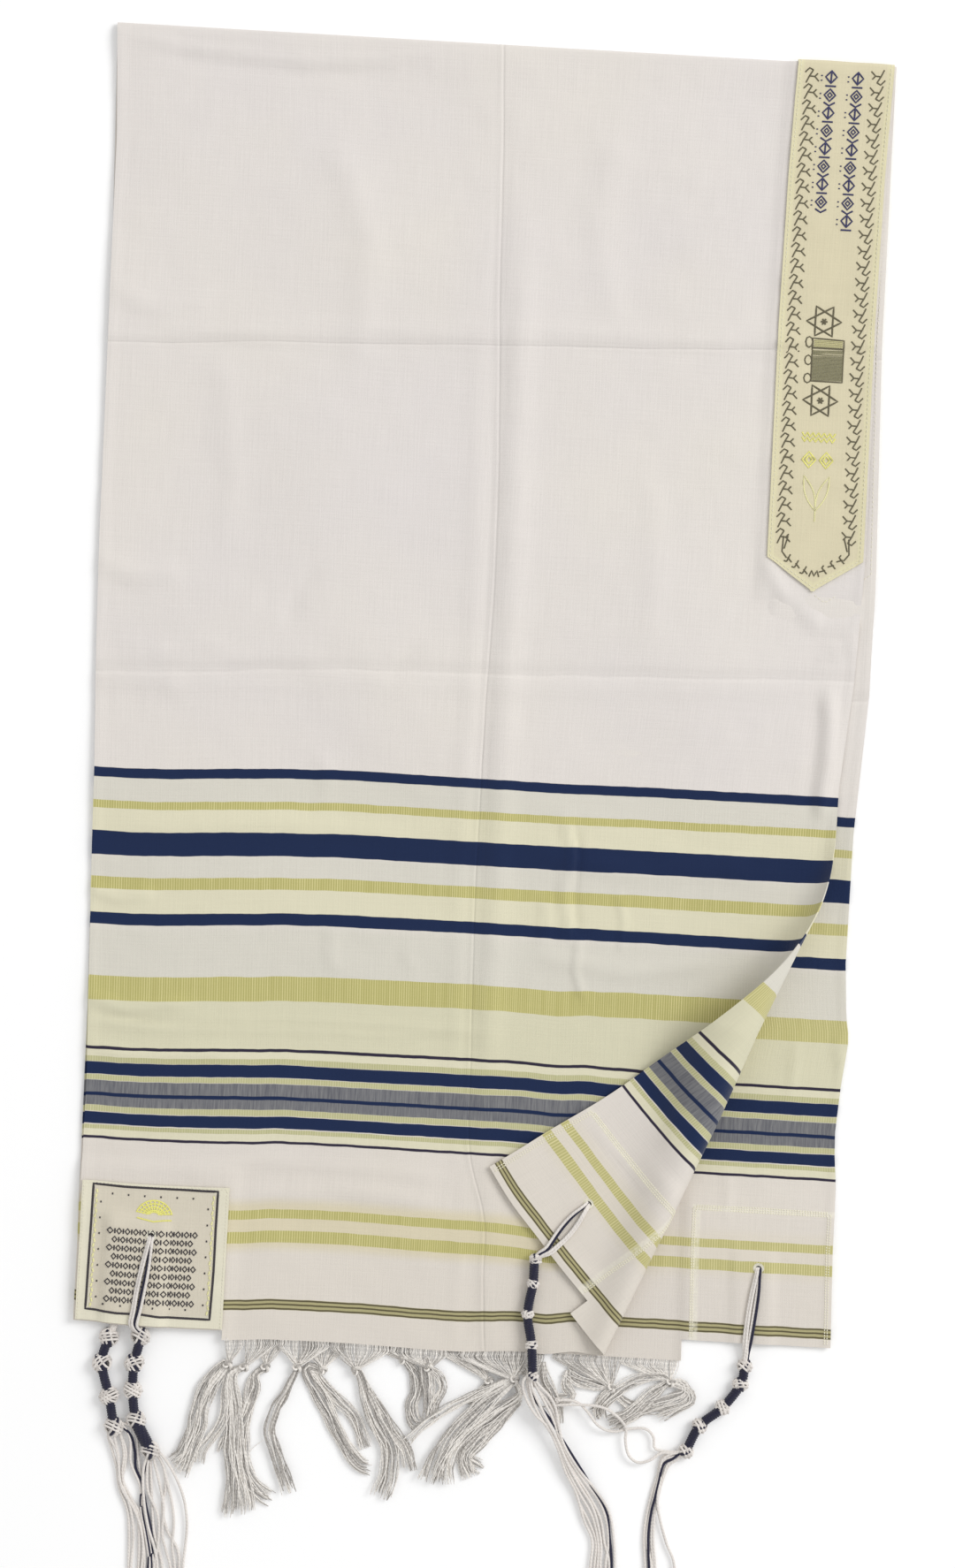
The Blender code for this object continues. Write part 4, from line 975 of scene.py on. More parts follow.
dots = [(a, b + DOT_STEP_DOWN * k) for k in range(7)
        for a, b in ((FRAME_LEFT + 0.0060, 0.0150), (FRAME_RIGHT - 0.0070, 0.0155))]
dots += [(a + DOT_STEP_ACROSS * k, b) for k in range(6)
         for a, b in ((0.0215, FRAME_TOP + 0.0062), (0.0200, FRAME_BOTTOM - 0.0054))]
dot_lines = [[(a, b), (a + DOT, b)] for a, b in dots]
lattice = []
for row in range(9):
    b, count = 0.0345 + 0.0062 * row, 11 - row % 2
    for k in range(count):
        a = PATCH_MIDDLE + (k - (count - 1) / 2) * 0.0060
        lattice.append(ring_of(a, b, 0.0017, 0.0021, 4))
        if k + 1 < count:
            lattice.append([(a + 0.0030, b - 0.0018), (a + 0.0030, b + 0.0018)])
FAN_FOOT = 0.0235
fan = []
for k in range(11):
    lean = math.radians(-75 + 15 * k)
    fan.append([(PATCH_MIDDLE + 0.0030 * math.sin(lean), FAN_FOOT - 0.001 - 0.002 * math.cos(lean)),
                (PATCH_MIDDLE + 0.0130 * math.sin(lean), FAN_FOOT - 0.0125 * math.cos(lean))])
for reach in (0.0055, 0.0080, 0.0105, 0.0130):
    leans = [math.radians(lean) for lean in range(-78, 79, 12)]
    fan.append([(PATCH_MIDDLE + reach * math.sin(lean), FAN_FOOT - 0.96 * reach * math.cos(lean)) for lean in leans])
fan.append([(PATCH_MIDDLE - 0.0120, 0.0250), (PATCH_MIDDLE, 0.0268), (PATCH_MIDDLE + 0.0120, 0.0250)])
gold_columns = [[(a, 0.0060 + 0.0036 * k), (a + 0.0006 * (-1) ** k, 0.0086 + 0.0036 * k)]
                for k in range(24) for a in (FRAME_LEFT + 0.0030, FRAME_RIGHT - 0.0030)]
patch_work = {}
for corner, (eyelet_u, eyelet_v) in EYELETS.items():
    left, way, low_u, high_u = corner_span(corner)
    top_v, end_v, hole_v = PATCH_TOPS[corner], HEM_AT[corner] - PATCH_SHORT, abs(eyelet_v)
    marks_u, marks_v = (
        np.unique(np.round(np.concatenate([np.linspace(low, high, count), [
            low + 0.001, high - 0.001, hole - EYELET_HALF, hole + EYELET_HALF]]), 6))
        for low, high, count, hole in ((low_u, high_u, 38, eyelet_u), (top_v, end_v, 36, hole_v)))
    grid_v, grid_u = np.meshgrid(np.sort(marks_v * way), marks_u, indexing="ij")

    def off_eyelet(u, v):
        return ~in_eyelet(u, v, EYELETS[corner])

    patch = cloth_panel(f"patch_{corner}_cloth", grid_u, grid_v, patch_material,
                        patch_lift(grid_u, grid_v), off_eyelet)
    spots = read_chart(patch.data)
    a, b = spots[:, 0] - low_u if left else high_u - spots[:, 0], np.abs(spots[:, 1]) - top_v
    mark_chart(patch.data, np.minimum.reduce([a - FRAME_LEFT, FRAME_RIGHT - a, b - FRAME_TOP, FRAME_BOTTOM - b]))
    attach(patch, "root")
    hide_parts("patch_" + corner)
    work = []
    for name, figures, width, silk in (
            ("frame", frame_lines, 0.0017, FRAME_SILK), ("dots", dot_lines, 0.0014, FRAME_SILK),
            ("lattice", lattice, 0.0011, FRAME_SILK), ("fan", fan, 0.0011, GOLD_SILK),
            ("gold_stitches", gold_columns, 0.0014, PALE_GOLD)):
        sewn = [[(low_u + a if left else high_u - a, way * (top_v + b)) for a, b in figure] for figure in figures]
        piece = embroider("patch_" + corner + "_" + name, sewn, patch_skin, width, silk)
        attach(piece, "root")
        work.append(piece)
    patch_work[corner] = (patch, work)


# ---- Stitching and eyelets -------------------------------------------------------------------
# Cream sewing thread: rows that hold the neckband and the patches, seen on both sides, the hems
# of the corners, and buttonhole stitches round each eyelet.

stitch_row, entry, result = effect(
    "stitch row", [("Lines", "Geometry"), ("Spacing", "Float"), ("Stitch", "Float"), ("Thickness", "Float"),
                   ("Thread", "Material")],
    [("Stitches", "Geometry")], "GeometryNodeTree")
row = shape(stitch_row, "MeshToCurve", {"Mesh": entry["Lines"]})
row = shape(stitch_row, "SetCurveNormal", {"Curve": row}, mode="Z_UP")
places = add_node(stitch_row, "GeometryNodeCurveToPoints", {"Curve": row, "Length": entry["Spacing"]},
                  mode="LENGTH").outputs
bead = shape(stitch_row, "MeshUVSphere", {"Segments": 6, "Rings": 4, "Radius": 0.5})
sizes = add_node(stitch_row, "ShaderNodeCombineXYZ", {
    "X": entry["Thickness"], "Y": entry["Thickness"], "Z": entry["Stitch"]}).outputs[0]
beads = shape(stitch_row, "InstanceOnPoints", {
    "Points": places["Points"], "Instance": bead, "Rotation": places["Rotation"], "Scale": sizes})
beads = shape(stitch_row, "RealizeInstances", {"Geometry": beads})
beads = shape(stitch_row, "SetShadeSmooth", {"Geometry": beads})
feed(stitch_row, result, {0: shape(stitch_row, "SetMaterial", {"Geometry": beads, "Material": entry["Thread"]})})

BAND_STITCH, PATCH_STITCH = (0.0032, 0.0022, 0.0005), (0.0026, 0.0018, 0.0005)  # spacing, length, thickness
REVERSE_STITCH, OUTLINE_STITCH = (0.0032, 0.0022, 0.0006), (0.0019, 0.0014, 0.0009)
EYELET_RAYS, RAY_FROM, RAY_TO, RAY_WIDE = 26, 0.0022, 0.0040, 0.0008
# the second colour of each thread is the painted shade of its ply grooves
CREAM_THREAD = thread_with_painted_shade("cream thread", seen_colour(236, 232, 214), seen_colour(214, 208, 184))
YELLOW_THREAD = thread_with_painted_shade("yellow thread", seen_colour(240, 236, 214), seen_colour(224, 219, 190))
REVERSE_SKIN = -(CLOTH_WALL / 2 + 0.0001)


def stitch(name, runs, lift, size, material=CREAM_THREAD):
    """Rows of stitches along lines; size holds their spacing, length and thickness."""
    spacing, length, thick = size
    laid = lay_lines([along_line(run, 0.003) for run in runs], lift)
    piece = grow(name, line_mesh(name, laid, [thick] * len(laid)), stitch_row,
                 Spacing=spacing, Stitch=length, Thickness=thick, Thread=material)
    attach(piece, "root")
    return piece


SEAM = 0.0022                                  # how far in from its edge the band is sewn
band_edge = [
    [(BAND_LOW + SEAM, 0.002 * way), (BAND_LOW + SEAM, (BAND_SHOULDER - 0.001) * way),
     (BAND_MIDDLE, (BAND_TIP - 0.0028) * way), (BAND_HIGH - SEAM, (BAND_SHOULDER - 0.001) * way),
     (BAND_HIGH - SEAM, 0.002 * way)] for way in (1, -1)]
band_stitches = stitch("neckband_stitches", band_edge, band_skin, BAND_STITCH)
band_reverse = stitch("neckband_stitches_reverse", band_edge, REVERSE_SKIN, REVERSE_STITCH)
hem_runs, patch_stitches, reverse_stitches, eyelet_rings = [], {}, [], {}
for corner, (eyelet_u, eyelet_v) in EYELETS.items():
    left, way, low_u, high_u = corner_span(corner)
    top_v, end_v = PATCH_TOPS[corner], HEM_AT[corner]
    hem_v = way * (end_v - 0.0022)
    hem_runs.append([(0.002 if left else WIDTH - 0.002, hem_v), (0.1065 if left else 0.4485, hem_v)])
    outline = [(low_u + 0.0014, way * (end_v - 0.0024)), (low_u + 0.0014, way * (top_v + 0.0014)),
               (high_u - 0.0014, way * (top_v + 0.0014)), (high_u - 0.0014, way * (end_v - 0.0024))]
    patch_stitches[corner] = stitch(f"patch_{corner}_stitches", [outline], patch_skin, PATCH_STITCH)
    for inset in (0.0012, 0.0028):
        reverse_stitches.append([(low_u + inset, way * (end_v - 0.003)), (low_u + inset, way * (top_v + inset)),
                                 (high_u - inset, way * (top_v + inset)), (high_u - inset, way * (end_v - 0.003))])
    reverse_stitches.append([(low_u + 0.004, way * top_v), ((low_u + high_u) / 2, way * (top_v - 0.0006)),
                             (high_u - 0.004, way * top_v)])
    angles = [2 * math.pi * k / EYELET_RAYS for k in range(EYELET_RAYS)]
    rays = [[(eyelet_u + reach * math.cos(angle), eyelet_v + reach * math.sin(angle)) for reach in (RAY_FROM, RAY_TO)]
            for angle in angles]
    eyelet_rings[corner] = []
    for side, lift in (("face", patch_skin), ("reverse", REVERSE_SKIN)):
        piece = embroider(f"eyelet_{corner}_{side}", rays, lift, RAY_WIDE, CREAM_THREAD, 0.0006)
        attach(piece, "root")
        eyelet_rings[corner].append(piece)
hem_stitches = stitch("hem_stitches", hem_runs, THREAD_OUT, PATCH_STITCH)
reverse_outlines = stitch("patch_outlines_reverse", reverse_stitches, REVERSE_SKIN, OUTLINE_STITCH,
                          YELLOW_THREAD)


# ---- Tzitzit ---------------------------------------------------------------------------------
# At each corner four long strings pass through the eyelet, doubled to eight, one of them navy.
# They run down both sides of the cloth, are tied in five double knots with the navy string
# wound between them, and then hang free, each end knotted.

# the second colour of each string is its painted shade, in its ply grooves and on the knot strands painted darker
STRING_WHITE = thread_with_painted_shade("string white", seen_colour(238, 232, 226), seen_colour(150, 143, 138), twist=0.0026)
STRING_NAVY = thread_with_painted_shade("string navy", seen_colour(34, 34, 58), seen_colour(22, 22, 40), twist=0.0022)
STRING_WIDE, KNOT_YARN = 0.0021, 0.00085       # a string across, and half of one as drawn in a knot
END_KNOT, END_STRAND = (0.0025, 0.0017), 0.0006  # half width and half height of an end knot, its strand
TUFT_STRAND, TUFT_LENGTH = 0.00035, 0.006
STEM_REACH = 0.0017                            # of the strings inside the stem, out from its middle
WOUND_STEP, WOUND_PITCH = 0.00013, 0.0017      # between points of the winding, and between its turns
WOUND_GIRTH, WOUND_SWELL = 0.0025, 0.0011      # its radius, and how much that grows at the front left
UP = np.array([0, 0, 1.0])
ROW_ENDS = {  # u where the strings from an eyelet come to the hem
    "front_left": 0.044, "front_right": WIDTH - 0.063, "back_left": 0.030, "back_right": WIDTH - 0.060}
# middles of the strings on the face and on the reverse, out from the middle of the cloth
ROW_FACE, ROW_REVERSE = ON_FACE + CLOTH / 2 + GAP + STRING_WIDE / 2, -(CLOTH / 2 + GAP + STRING_WIDE / 2)
STEMS = {  # corner: its knots from the hem outwards, millimetres
    "front_left": [(-223.1, -471.6, 7.2), (-226.9, -491.3, 5.6), (-227.2, -510.7, 5), (-223.9, -532.2, 4.9),
                   (-212.7, -553.6, 4.9)],
    "back_left": [(-245.9, -473.8, 4.9), (-250.2, -492.3, 4.9), (-244.1, -515.9, 4.9), (-239.7, -537.6, 4.9)],
    "front_right": [(57.2, -404.2, 9.4), (56.2, -421.6, 8.4), (53.3, -443.6, 8.2), (57, -465.4, 9.2),
                    (58.6, -487.6, 11.8)],
    "back_right": [(210.5, -474.5, 4.8), (208, -488, 4.8), (196, -505, 4.8), (180, -519, 4.8), (171, -537.5, 4.8)]}
LOOSE_HEIGHTS = {  # corner: way from the last knot and height of the strings' middle, millimetres
    "front_left": [(0, 4.8), (12, 3.6), (30, 2.6), (55, 2.2)],
    "back_left": [(0, 4.8), (12, 3.6), (28, 2.6), (55, 2.2)],
    "front_right": [(0, 11.8), (15, 10.8), (33, 9.8), (55, 8), (80, 5), (108, 2.6), (130, 2.2)],
    "back_right": [(0, 4.8), (12, 3.6), (21, 2.8), (35, 2.2)]}
STRAY_HEIGHTS = [(0, 4.8), (12, 3.2), (40, 3.0), (58, 4.0), (72, 6.2), (84, 6.8), (140, 6.8)]
KNOT_SIZES = {  # corner: half width, half length and half height of its knots, millimetres
    "front_left": (7.6, 8.0, 5.0), "back_left": (7.8, 8.0, 5.0), "front_right": (5.2, 4.8, 4.6),
    "back_right": (6.4, 5.8, 4.8)}
NAVY_ORDERS = {"front_left": 2, "front_right": 2, "back_left": 5, "back_right": 3}  # which string is navy
ROW_MARKS = np.array([0.0, 3.5, 9, 17, 26, 36, 46, 55]) * MM  # along the rows, which are scaled to the hem
ROW_OPENS = {  # how far the two middle strings of a row part
    "front_left": 0.0008, "front_right": 0.0022, "back_left": 0.0008, "back_right": 0.0006}
GATHER_X = {  # x that the ends of the strings gather towards
    "front_left": -0.2000, "back_left": -0.2330, "front_right": 0.1190, "back_right": 0.1550}
LOOSE_ROUTES = {  # corner: kind of string and its way from the last knot, millimetres
    "front_right": [
        ("navy", [(56.6, -493.5), (61.5, -505), (72.3, -517.7), (81.7, -531.9), (94.1, -550.3), (106.6, -568.7),
            (116.1, -584.4), (119, -601.8), (121.5, -624.6)]),
        ("white", [(52.1, -490.8), (54.1, -502.4), (62, -515.2), (71.1, -523.6), (79.1, -539.3), (85.7, -556.5),
            (93.6, -570.8), (100.3, -590.9), (106.8, -605.2), (106.2, -625.3)]),
        ("white", [(55.1, -492.1), (58.6, -505.1), (68, -519.3), (75.8, -532.1), (82.3, -546.4), (90.3, -562.1),
            (95.3, -576.5), (104, -592.2), (109.7, -606.6), (109.1, -625.1)]),
        ("white", [(63.2, -493.2), (71.6, -501.6), (76.3, -510.2), (79.1, -523.2), (83.3, -536.2), (94.3, -553.2),
            (106.6, -567.3), (117.5, -582.9), (121.9, -601.6), (124, -624.5)]),
        ("white", [(61, -493.3), (67.3, -504.7), (73.7, -516.1), (80.2, -531.9), (86.6, -544.8), (97.5, -560.4),
            (109.9, -575.9), (116.3, -590.2), (118.5, -606.2), (117.1, -624.8)]),
        ("white", [(58.1, -493.5), (64.6, -507.8), (72.5, -522), (79.6, -534.9), (86.9, -550.6), (96.3, -566.3),
            (105.7, -580.5), (110.7, -594.8), (113.5, -609.3), (113.5, -624.9)]),
        ("white", [(60.3, -493.4), (68.7, -503.2), (75.8, -514.6), (78.6, -527.6), (82.8, -540.6), (91.5, -556.3),
            (102.4, -571.8), (111.9, -588.9), (115.6, -606.3), (120, -624.6)]),
        ("white", [(56.6, -492.1), (60.9, -507.9), (68.8, -521.5), (77.4, -533.5), (82.2, -543.5), (87.8, -556.4),
            (96.6, -572.1), (106, -587.7), (111.2, -606.5), (111.3, -625)])],
    "back_right": [
        ("navy", [(162.4, -542.9), (155.4, -547.6), (152.9, -559.4), (150.5, -571.2), (148.1, -583),
            (146.7, -600.6), (148.4, -623.4)]),
        ("white", [(163.8, -540), (154.4, -543.3), (151.4, -556.6), (147.6, -571.3), (144.7, -587.5),
            (143.9, -603.6), (145.8, -623.5)]),
        ("white", [(163.8, -541.4), (155.3, -545.4), (152.2, -559.4), (149.2, -574.2), (146.9, -588.9),
            (145.8, -603.5), (149.9, -623.3)]),
        ("white", [(165.4, -542.8), (158.3, -547.5), (155.1, -559.3), (152.7, -571.1), (150.5, -585.8),
            (150.5, -603.3), (152.8, -623.2)]),
        ("white", [(162.3, -539.3), (154.5, -544.7), (153.6, -557.9), (152.1, -574), (154.9, -588.5), (160, -604.4),
            (166.7, -622.6)]),
        ("white", [(164.7, -544.3), (159.1, -548.9), (154.5, -562.3), (151.4, -574.1), (149.1, -588.8),
            (149.1, -604.8), (151.1, -623.3)]),
        ("stray", [(163.7, -538.5), (153.5, -538.2), (148.3, -536.3), (147.2, -528.3), (141.1, -523),
            (129.5, -523.5), (117.9, -525.9), (107.5, -522), (99.8, -512.8), (92.2, -505.9), (83.4, -504.3),
            (76.8, -505.1)]),
        ("stray2", [(163.7, -539.2), (153.5, -539.7), (145.8, -545.1), (137.1, -547.3), (130, -542.2),
            (127.2, -531.3), (127.2, -522.6), (120.3, -514.1), (109.8, -508.3), (96.6, -507.1), (80.6, -507.8),
            (73.4, -508.9)])],
    "front_left": [
        ("navy", [(-212.6, -557.1), (-215.8, -566.8), (-217.8, -576.4), (-214.6, -593), (-210.3, -610.7),
            (-208.5, -624.9), (-209.1, -639)]),
        ("white", [(-214.5, -556), (-217, -565.7), (-217.1, -578.8), (-215.1, -595.4), (-211.5, -610.8),
            (-206.7, -624.9), (-204.3, -638.8)]),
        ("white", [(-212.8, -553.6), (-212.3, -565.5), (-211, -580.9), (-209.7, -597.6), (-207.8, -613),
            (-203.7, -625.9), (-200.7, -638.7)]),
        ("white", [(-211.6, -553.5), (-208.7, -565.3), (-204.5, -580.6), (-201.5, -594.8), (-201.9, -612.7),
            (-199, -624.5), (-194.8, -638.4)]),
        ("white", [(-210.4, -553.5), (-204, -562.7), (-199.8, -576.9), (-195.6, -592.2), (-193.8, -606.4),
            (-194.3, -621.9), (-191.8, -638.3)]),
        ("white", [(-208, -553.4), (-200.5, -561.4), (-192.8, -574.2), (-186.8, -589.4), (-184.3, -606),
            (-184.8, -621.5), (-185.9, -638)]),
        ("white", [(-209.2, -554.6), (-202.7, -566.3), (-200.9, -580.5), (-202.6, -594.9), (-198.3, -611.4),
            (-190.6, -624.2), (-188.8, -638.1)]),
        ("white", [(-213.3, -556), (-214.5, -568), (-213.3, -583.4), (-206.1, -598.6), (-204.3, -611.6),
            (-204.9, -624.8), (-206.7, -638.9)])],
    "back_left": [
        ("navy", [(-236.2, -535.5), (-227.5, -543.5), (-224, -555.3), (-222.9, -567.1), (-218.3, -577.7),
            (-218, -593.2), (-213.9, -610.9), (-210.9, -625), (-210.8, -639.1)]),
        ("white", [(-241, -535.7), (-243.6, -544.2), (-240.1, -556), (-236.6, -567.7), (-234.2, -581.9),
            (-227.5, -598.3), (-225.6, -616.1), (-224.8, -639.7)]),
        ("white", [(-240.3, -536.9), (-242.4, -545.3), (-237.2, -554.6), (-234.9, -566.5), (-233.8, -577.1),
            (-227.9, -588.8), (-223.7, -604.1), (-222.4, -619.6), (-223.3, -639.7)]),
        ("white", [(-239.2, -535.6), (-236, -541.5), (-230.6, -554.4), (-230.7, -566.3), (-231.9, -575.9),
            (-225.6, -588.7), (-219.1, -599.2), (-216, -615.7), (-213.8, -639.2)]),
        ("white", [(-237.4, -535.6), (-231.3, -538.9), (-227.3, -548.2), (-226.7, -562.5), (-222.7, -571.9),
            (-218.7, -581.3), (-217.4, -599.1), (-213.7, -615.6), (-209.7, -639.1)]),
        ("white", [(-236.9, -534.9), (-229, -536.4), (-223.3, -544.5), (-221.5, -559.9), (-219.2, -571.7),
            (-217.4, -583.6), (-215.5, -601.4), (-211.1, -619.1), (-206.7, -638.9)]),
        ("white", [(-239.8, -536.9), (-238.7, -546.4), (-235.8, -558.2), (-234.7, -570), (-231.8, -583),
            (-222.8, -596.9), (-217.5, -609.8), (-215.1, -624), (-215.6, -639.3)]),
        ("white", [(-238.6, -536.8), (-234.6, -545), (-231.7, -558), (-232.5, -572.3), (-228.6, -586.5),
            (-221, -598.1), (-218.5, -613.4), (-218, -639.4)])]}


def smooth_run(points, spacing):
    """A smooth curve through the points, resampled at an even spacing."""
    points = np.asarray(points, float)
    padded = np.vstack([2 * points[0] - points[1], points, 2 * points[-1] - points[-2]])
    t = np.linspace(0, 1, 16, endpoint=False)[:, None]
    fine = []
    for p0, p1, p2, p3 in zip(padded, padded[1:], padded[2:], padded[3:]):
        fine.append((2 * p1 + (p2 - p0) * t + (2 * p0 - 5 * p1 + 4 * p2 - p3) * t ** 2
                     + (3 * p1 - p0 - 3 * p2 + p3) * t ** 3) / 2)
    fine = np.vstack(fine + [points[-1:]])
    run = run_along(fine)
    marks = np.linspace(0, run[-1], max(int(round(run[-1] / spacing)), 2) + 1)
    return np.stack([np.interp(marks, run, fine[:, k]) for k in range(fine.shape[1])], axis=1)


def sides_of(path):
    """The way of a path at its points, and the level and steep directions across it."""
    way = np.gradient(path, axis=0)
    way /= np.linalg.norm(way, axis=1, keepdims=True)
    level = np.cross(way, (0, 0, 1.0))
    level /= np.maximum(np.linalg.norm(level, axis=1, keepdims=True), 1e-9)
    return way, level, np.cross(level, way)


def level_axes(way):
    """A level way as a unit vector, and the level direction across it."""
    way = np.array([way[0], way[1], 0.0]) / math.hypot(way[0], way[1])
    return way, np.array([way[1], -way[0], 0.0])


def knot_loops(centre, way, wide, tall, strand, seed):
    """Strands of a tight knot lying flat: a bundle of three that crosses itself three times."""
    tilt = np.random.default_rng(seed).uniform(-0.5, 0.5)
    way, level = level_axes(way)
    phase = np.linspace(0, 2 * math.pi, 37)
    a = (np.sin(phase) + 2 * np.sin(2 * phase)) / 3 * (wide - 1.9 * strand)
    b = (np.cos(phase) - 2 * np.cos(2 * phase)) / 3 * (wide - 1.9 * strand)
    height = -np.sin(3 * phase) * (tall - 1.6 * strand)
    line = np.asarray(centre) + (a * math.cos(tilt) - b * math.sin(tilt))[:, None] * level \
        + (a * math.sin(tilt) + b * math.cos(tilt))[:, None] * way + height[:, None] * UP
    line[-1] = line[0]
    wrapped = np.vstack([line[-2], line, line[1]])
    tangent = wrapped[2:] - wrapped[:-2]
    tangent /= np.linalg.norm(tangent, axis=1, keepdims=True)
    outward = np.cross(tangent, UP)
    outward /= np.linalg.norm(outward, axis=1, keepdims=True)
    steep = np.cross(outward, tangent)
    loops = []
    for k in range(3):
        turn = 2 * math.pi * k / 3 + phase
        loop = line + strand * 1.02 * (np.cos(turn)[:, None] * outward + np.sin(turn)[:, None] * steep)
        loop[-1] = loop[0]
        loops.append(loop)
    return loops


def knot_bands(centre, way, sizes, strand, seed):
    """Strands of a big double knot lying flat: bands of three strands that cross each other."""
    dice = np.random.default_rng(seed)
    way, level = level_axes(way)
    axes = np.array([level, way, UP]) * (np.array(sizes) * MM - strand)[:, None]
    phase = np.linspace(0, 2 * math.pi, 33)[:, None]
    mirror = dice.choice((-1, 1))
    loops = []
    for tilt, lean, size in ((0.50, 0.20, 1.0), (-0.85, -0.15, 0.90), (1.2, 1.15, 0.92)):
        tilt, lean = mirror * tilt + dice.uniform(-0.25, 0.25), lean + dice.uniform(-0.15, 0.15)
        axis = np.array([math.sin(tilt) * math.cos(lean), math.cos(tilt) * math.cos(lean), math.sin(lean)])
        first = np.cross(axis, (0.2, 0.1, 1.0))
        first /= np.linalg.norm(first)
        second = np.cross(axis, first)
        for place in (-1, 0, 1):
            off = place * 2.15 * strand / np.linalg.norm(axis @ axes)
            ring = off * axis + math.sqrt(1 - off ** 2) * (np.cos(phase) * first + np.sin(phase) * second)
            uneven = 1 + 0.05 * np.sin(2 * phase + dice.uniform(0, 6))
            loop = np.asarray(centre) + size * uneven * ring @ axes
            loop[:, 2] = np.maximum(loop[:, 2], strand)
            loop[-1] = loop[0]
            loops.append(loop)
    return loops


def stem_frame(corner):
    """The way of the wound stem from the hem to its last knot, and the directions across it."""
    end_u, end_v = ROW_ENDS[corner], corner_span(corner)[1] * HEM_AT[corner]
    hem = lay(end_u, end_v + math.copysign(0.0015, end_v), (ROW_FACE + ROW_REVERSE) / 2)
    path = smooth_run(np.vstack([hem, np.array(STEMS[corner]) * MM]), 0.002)
    way, level, _ = sides_of(path)
    u_way = lay(end_u + 0.001, end_v) - lay(end_u - 0.001, end_v)
    if level[0] @ u_way < 0:
        level = -level
    steep = np.cross(way, level)
    return path, way, level, steep * np.sign(steep[:, 2:])


def nearest_to(path, point):
    return int(np.argmin(np.linalg.norm(path - point, axis=1)))


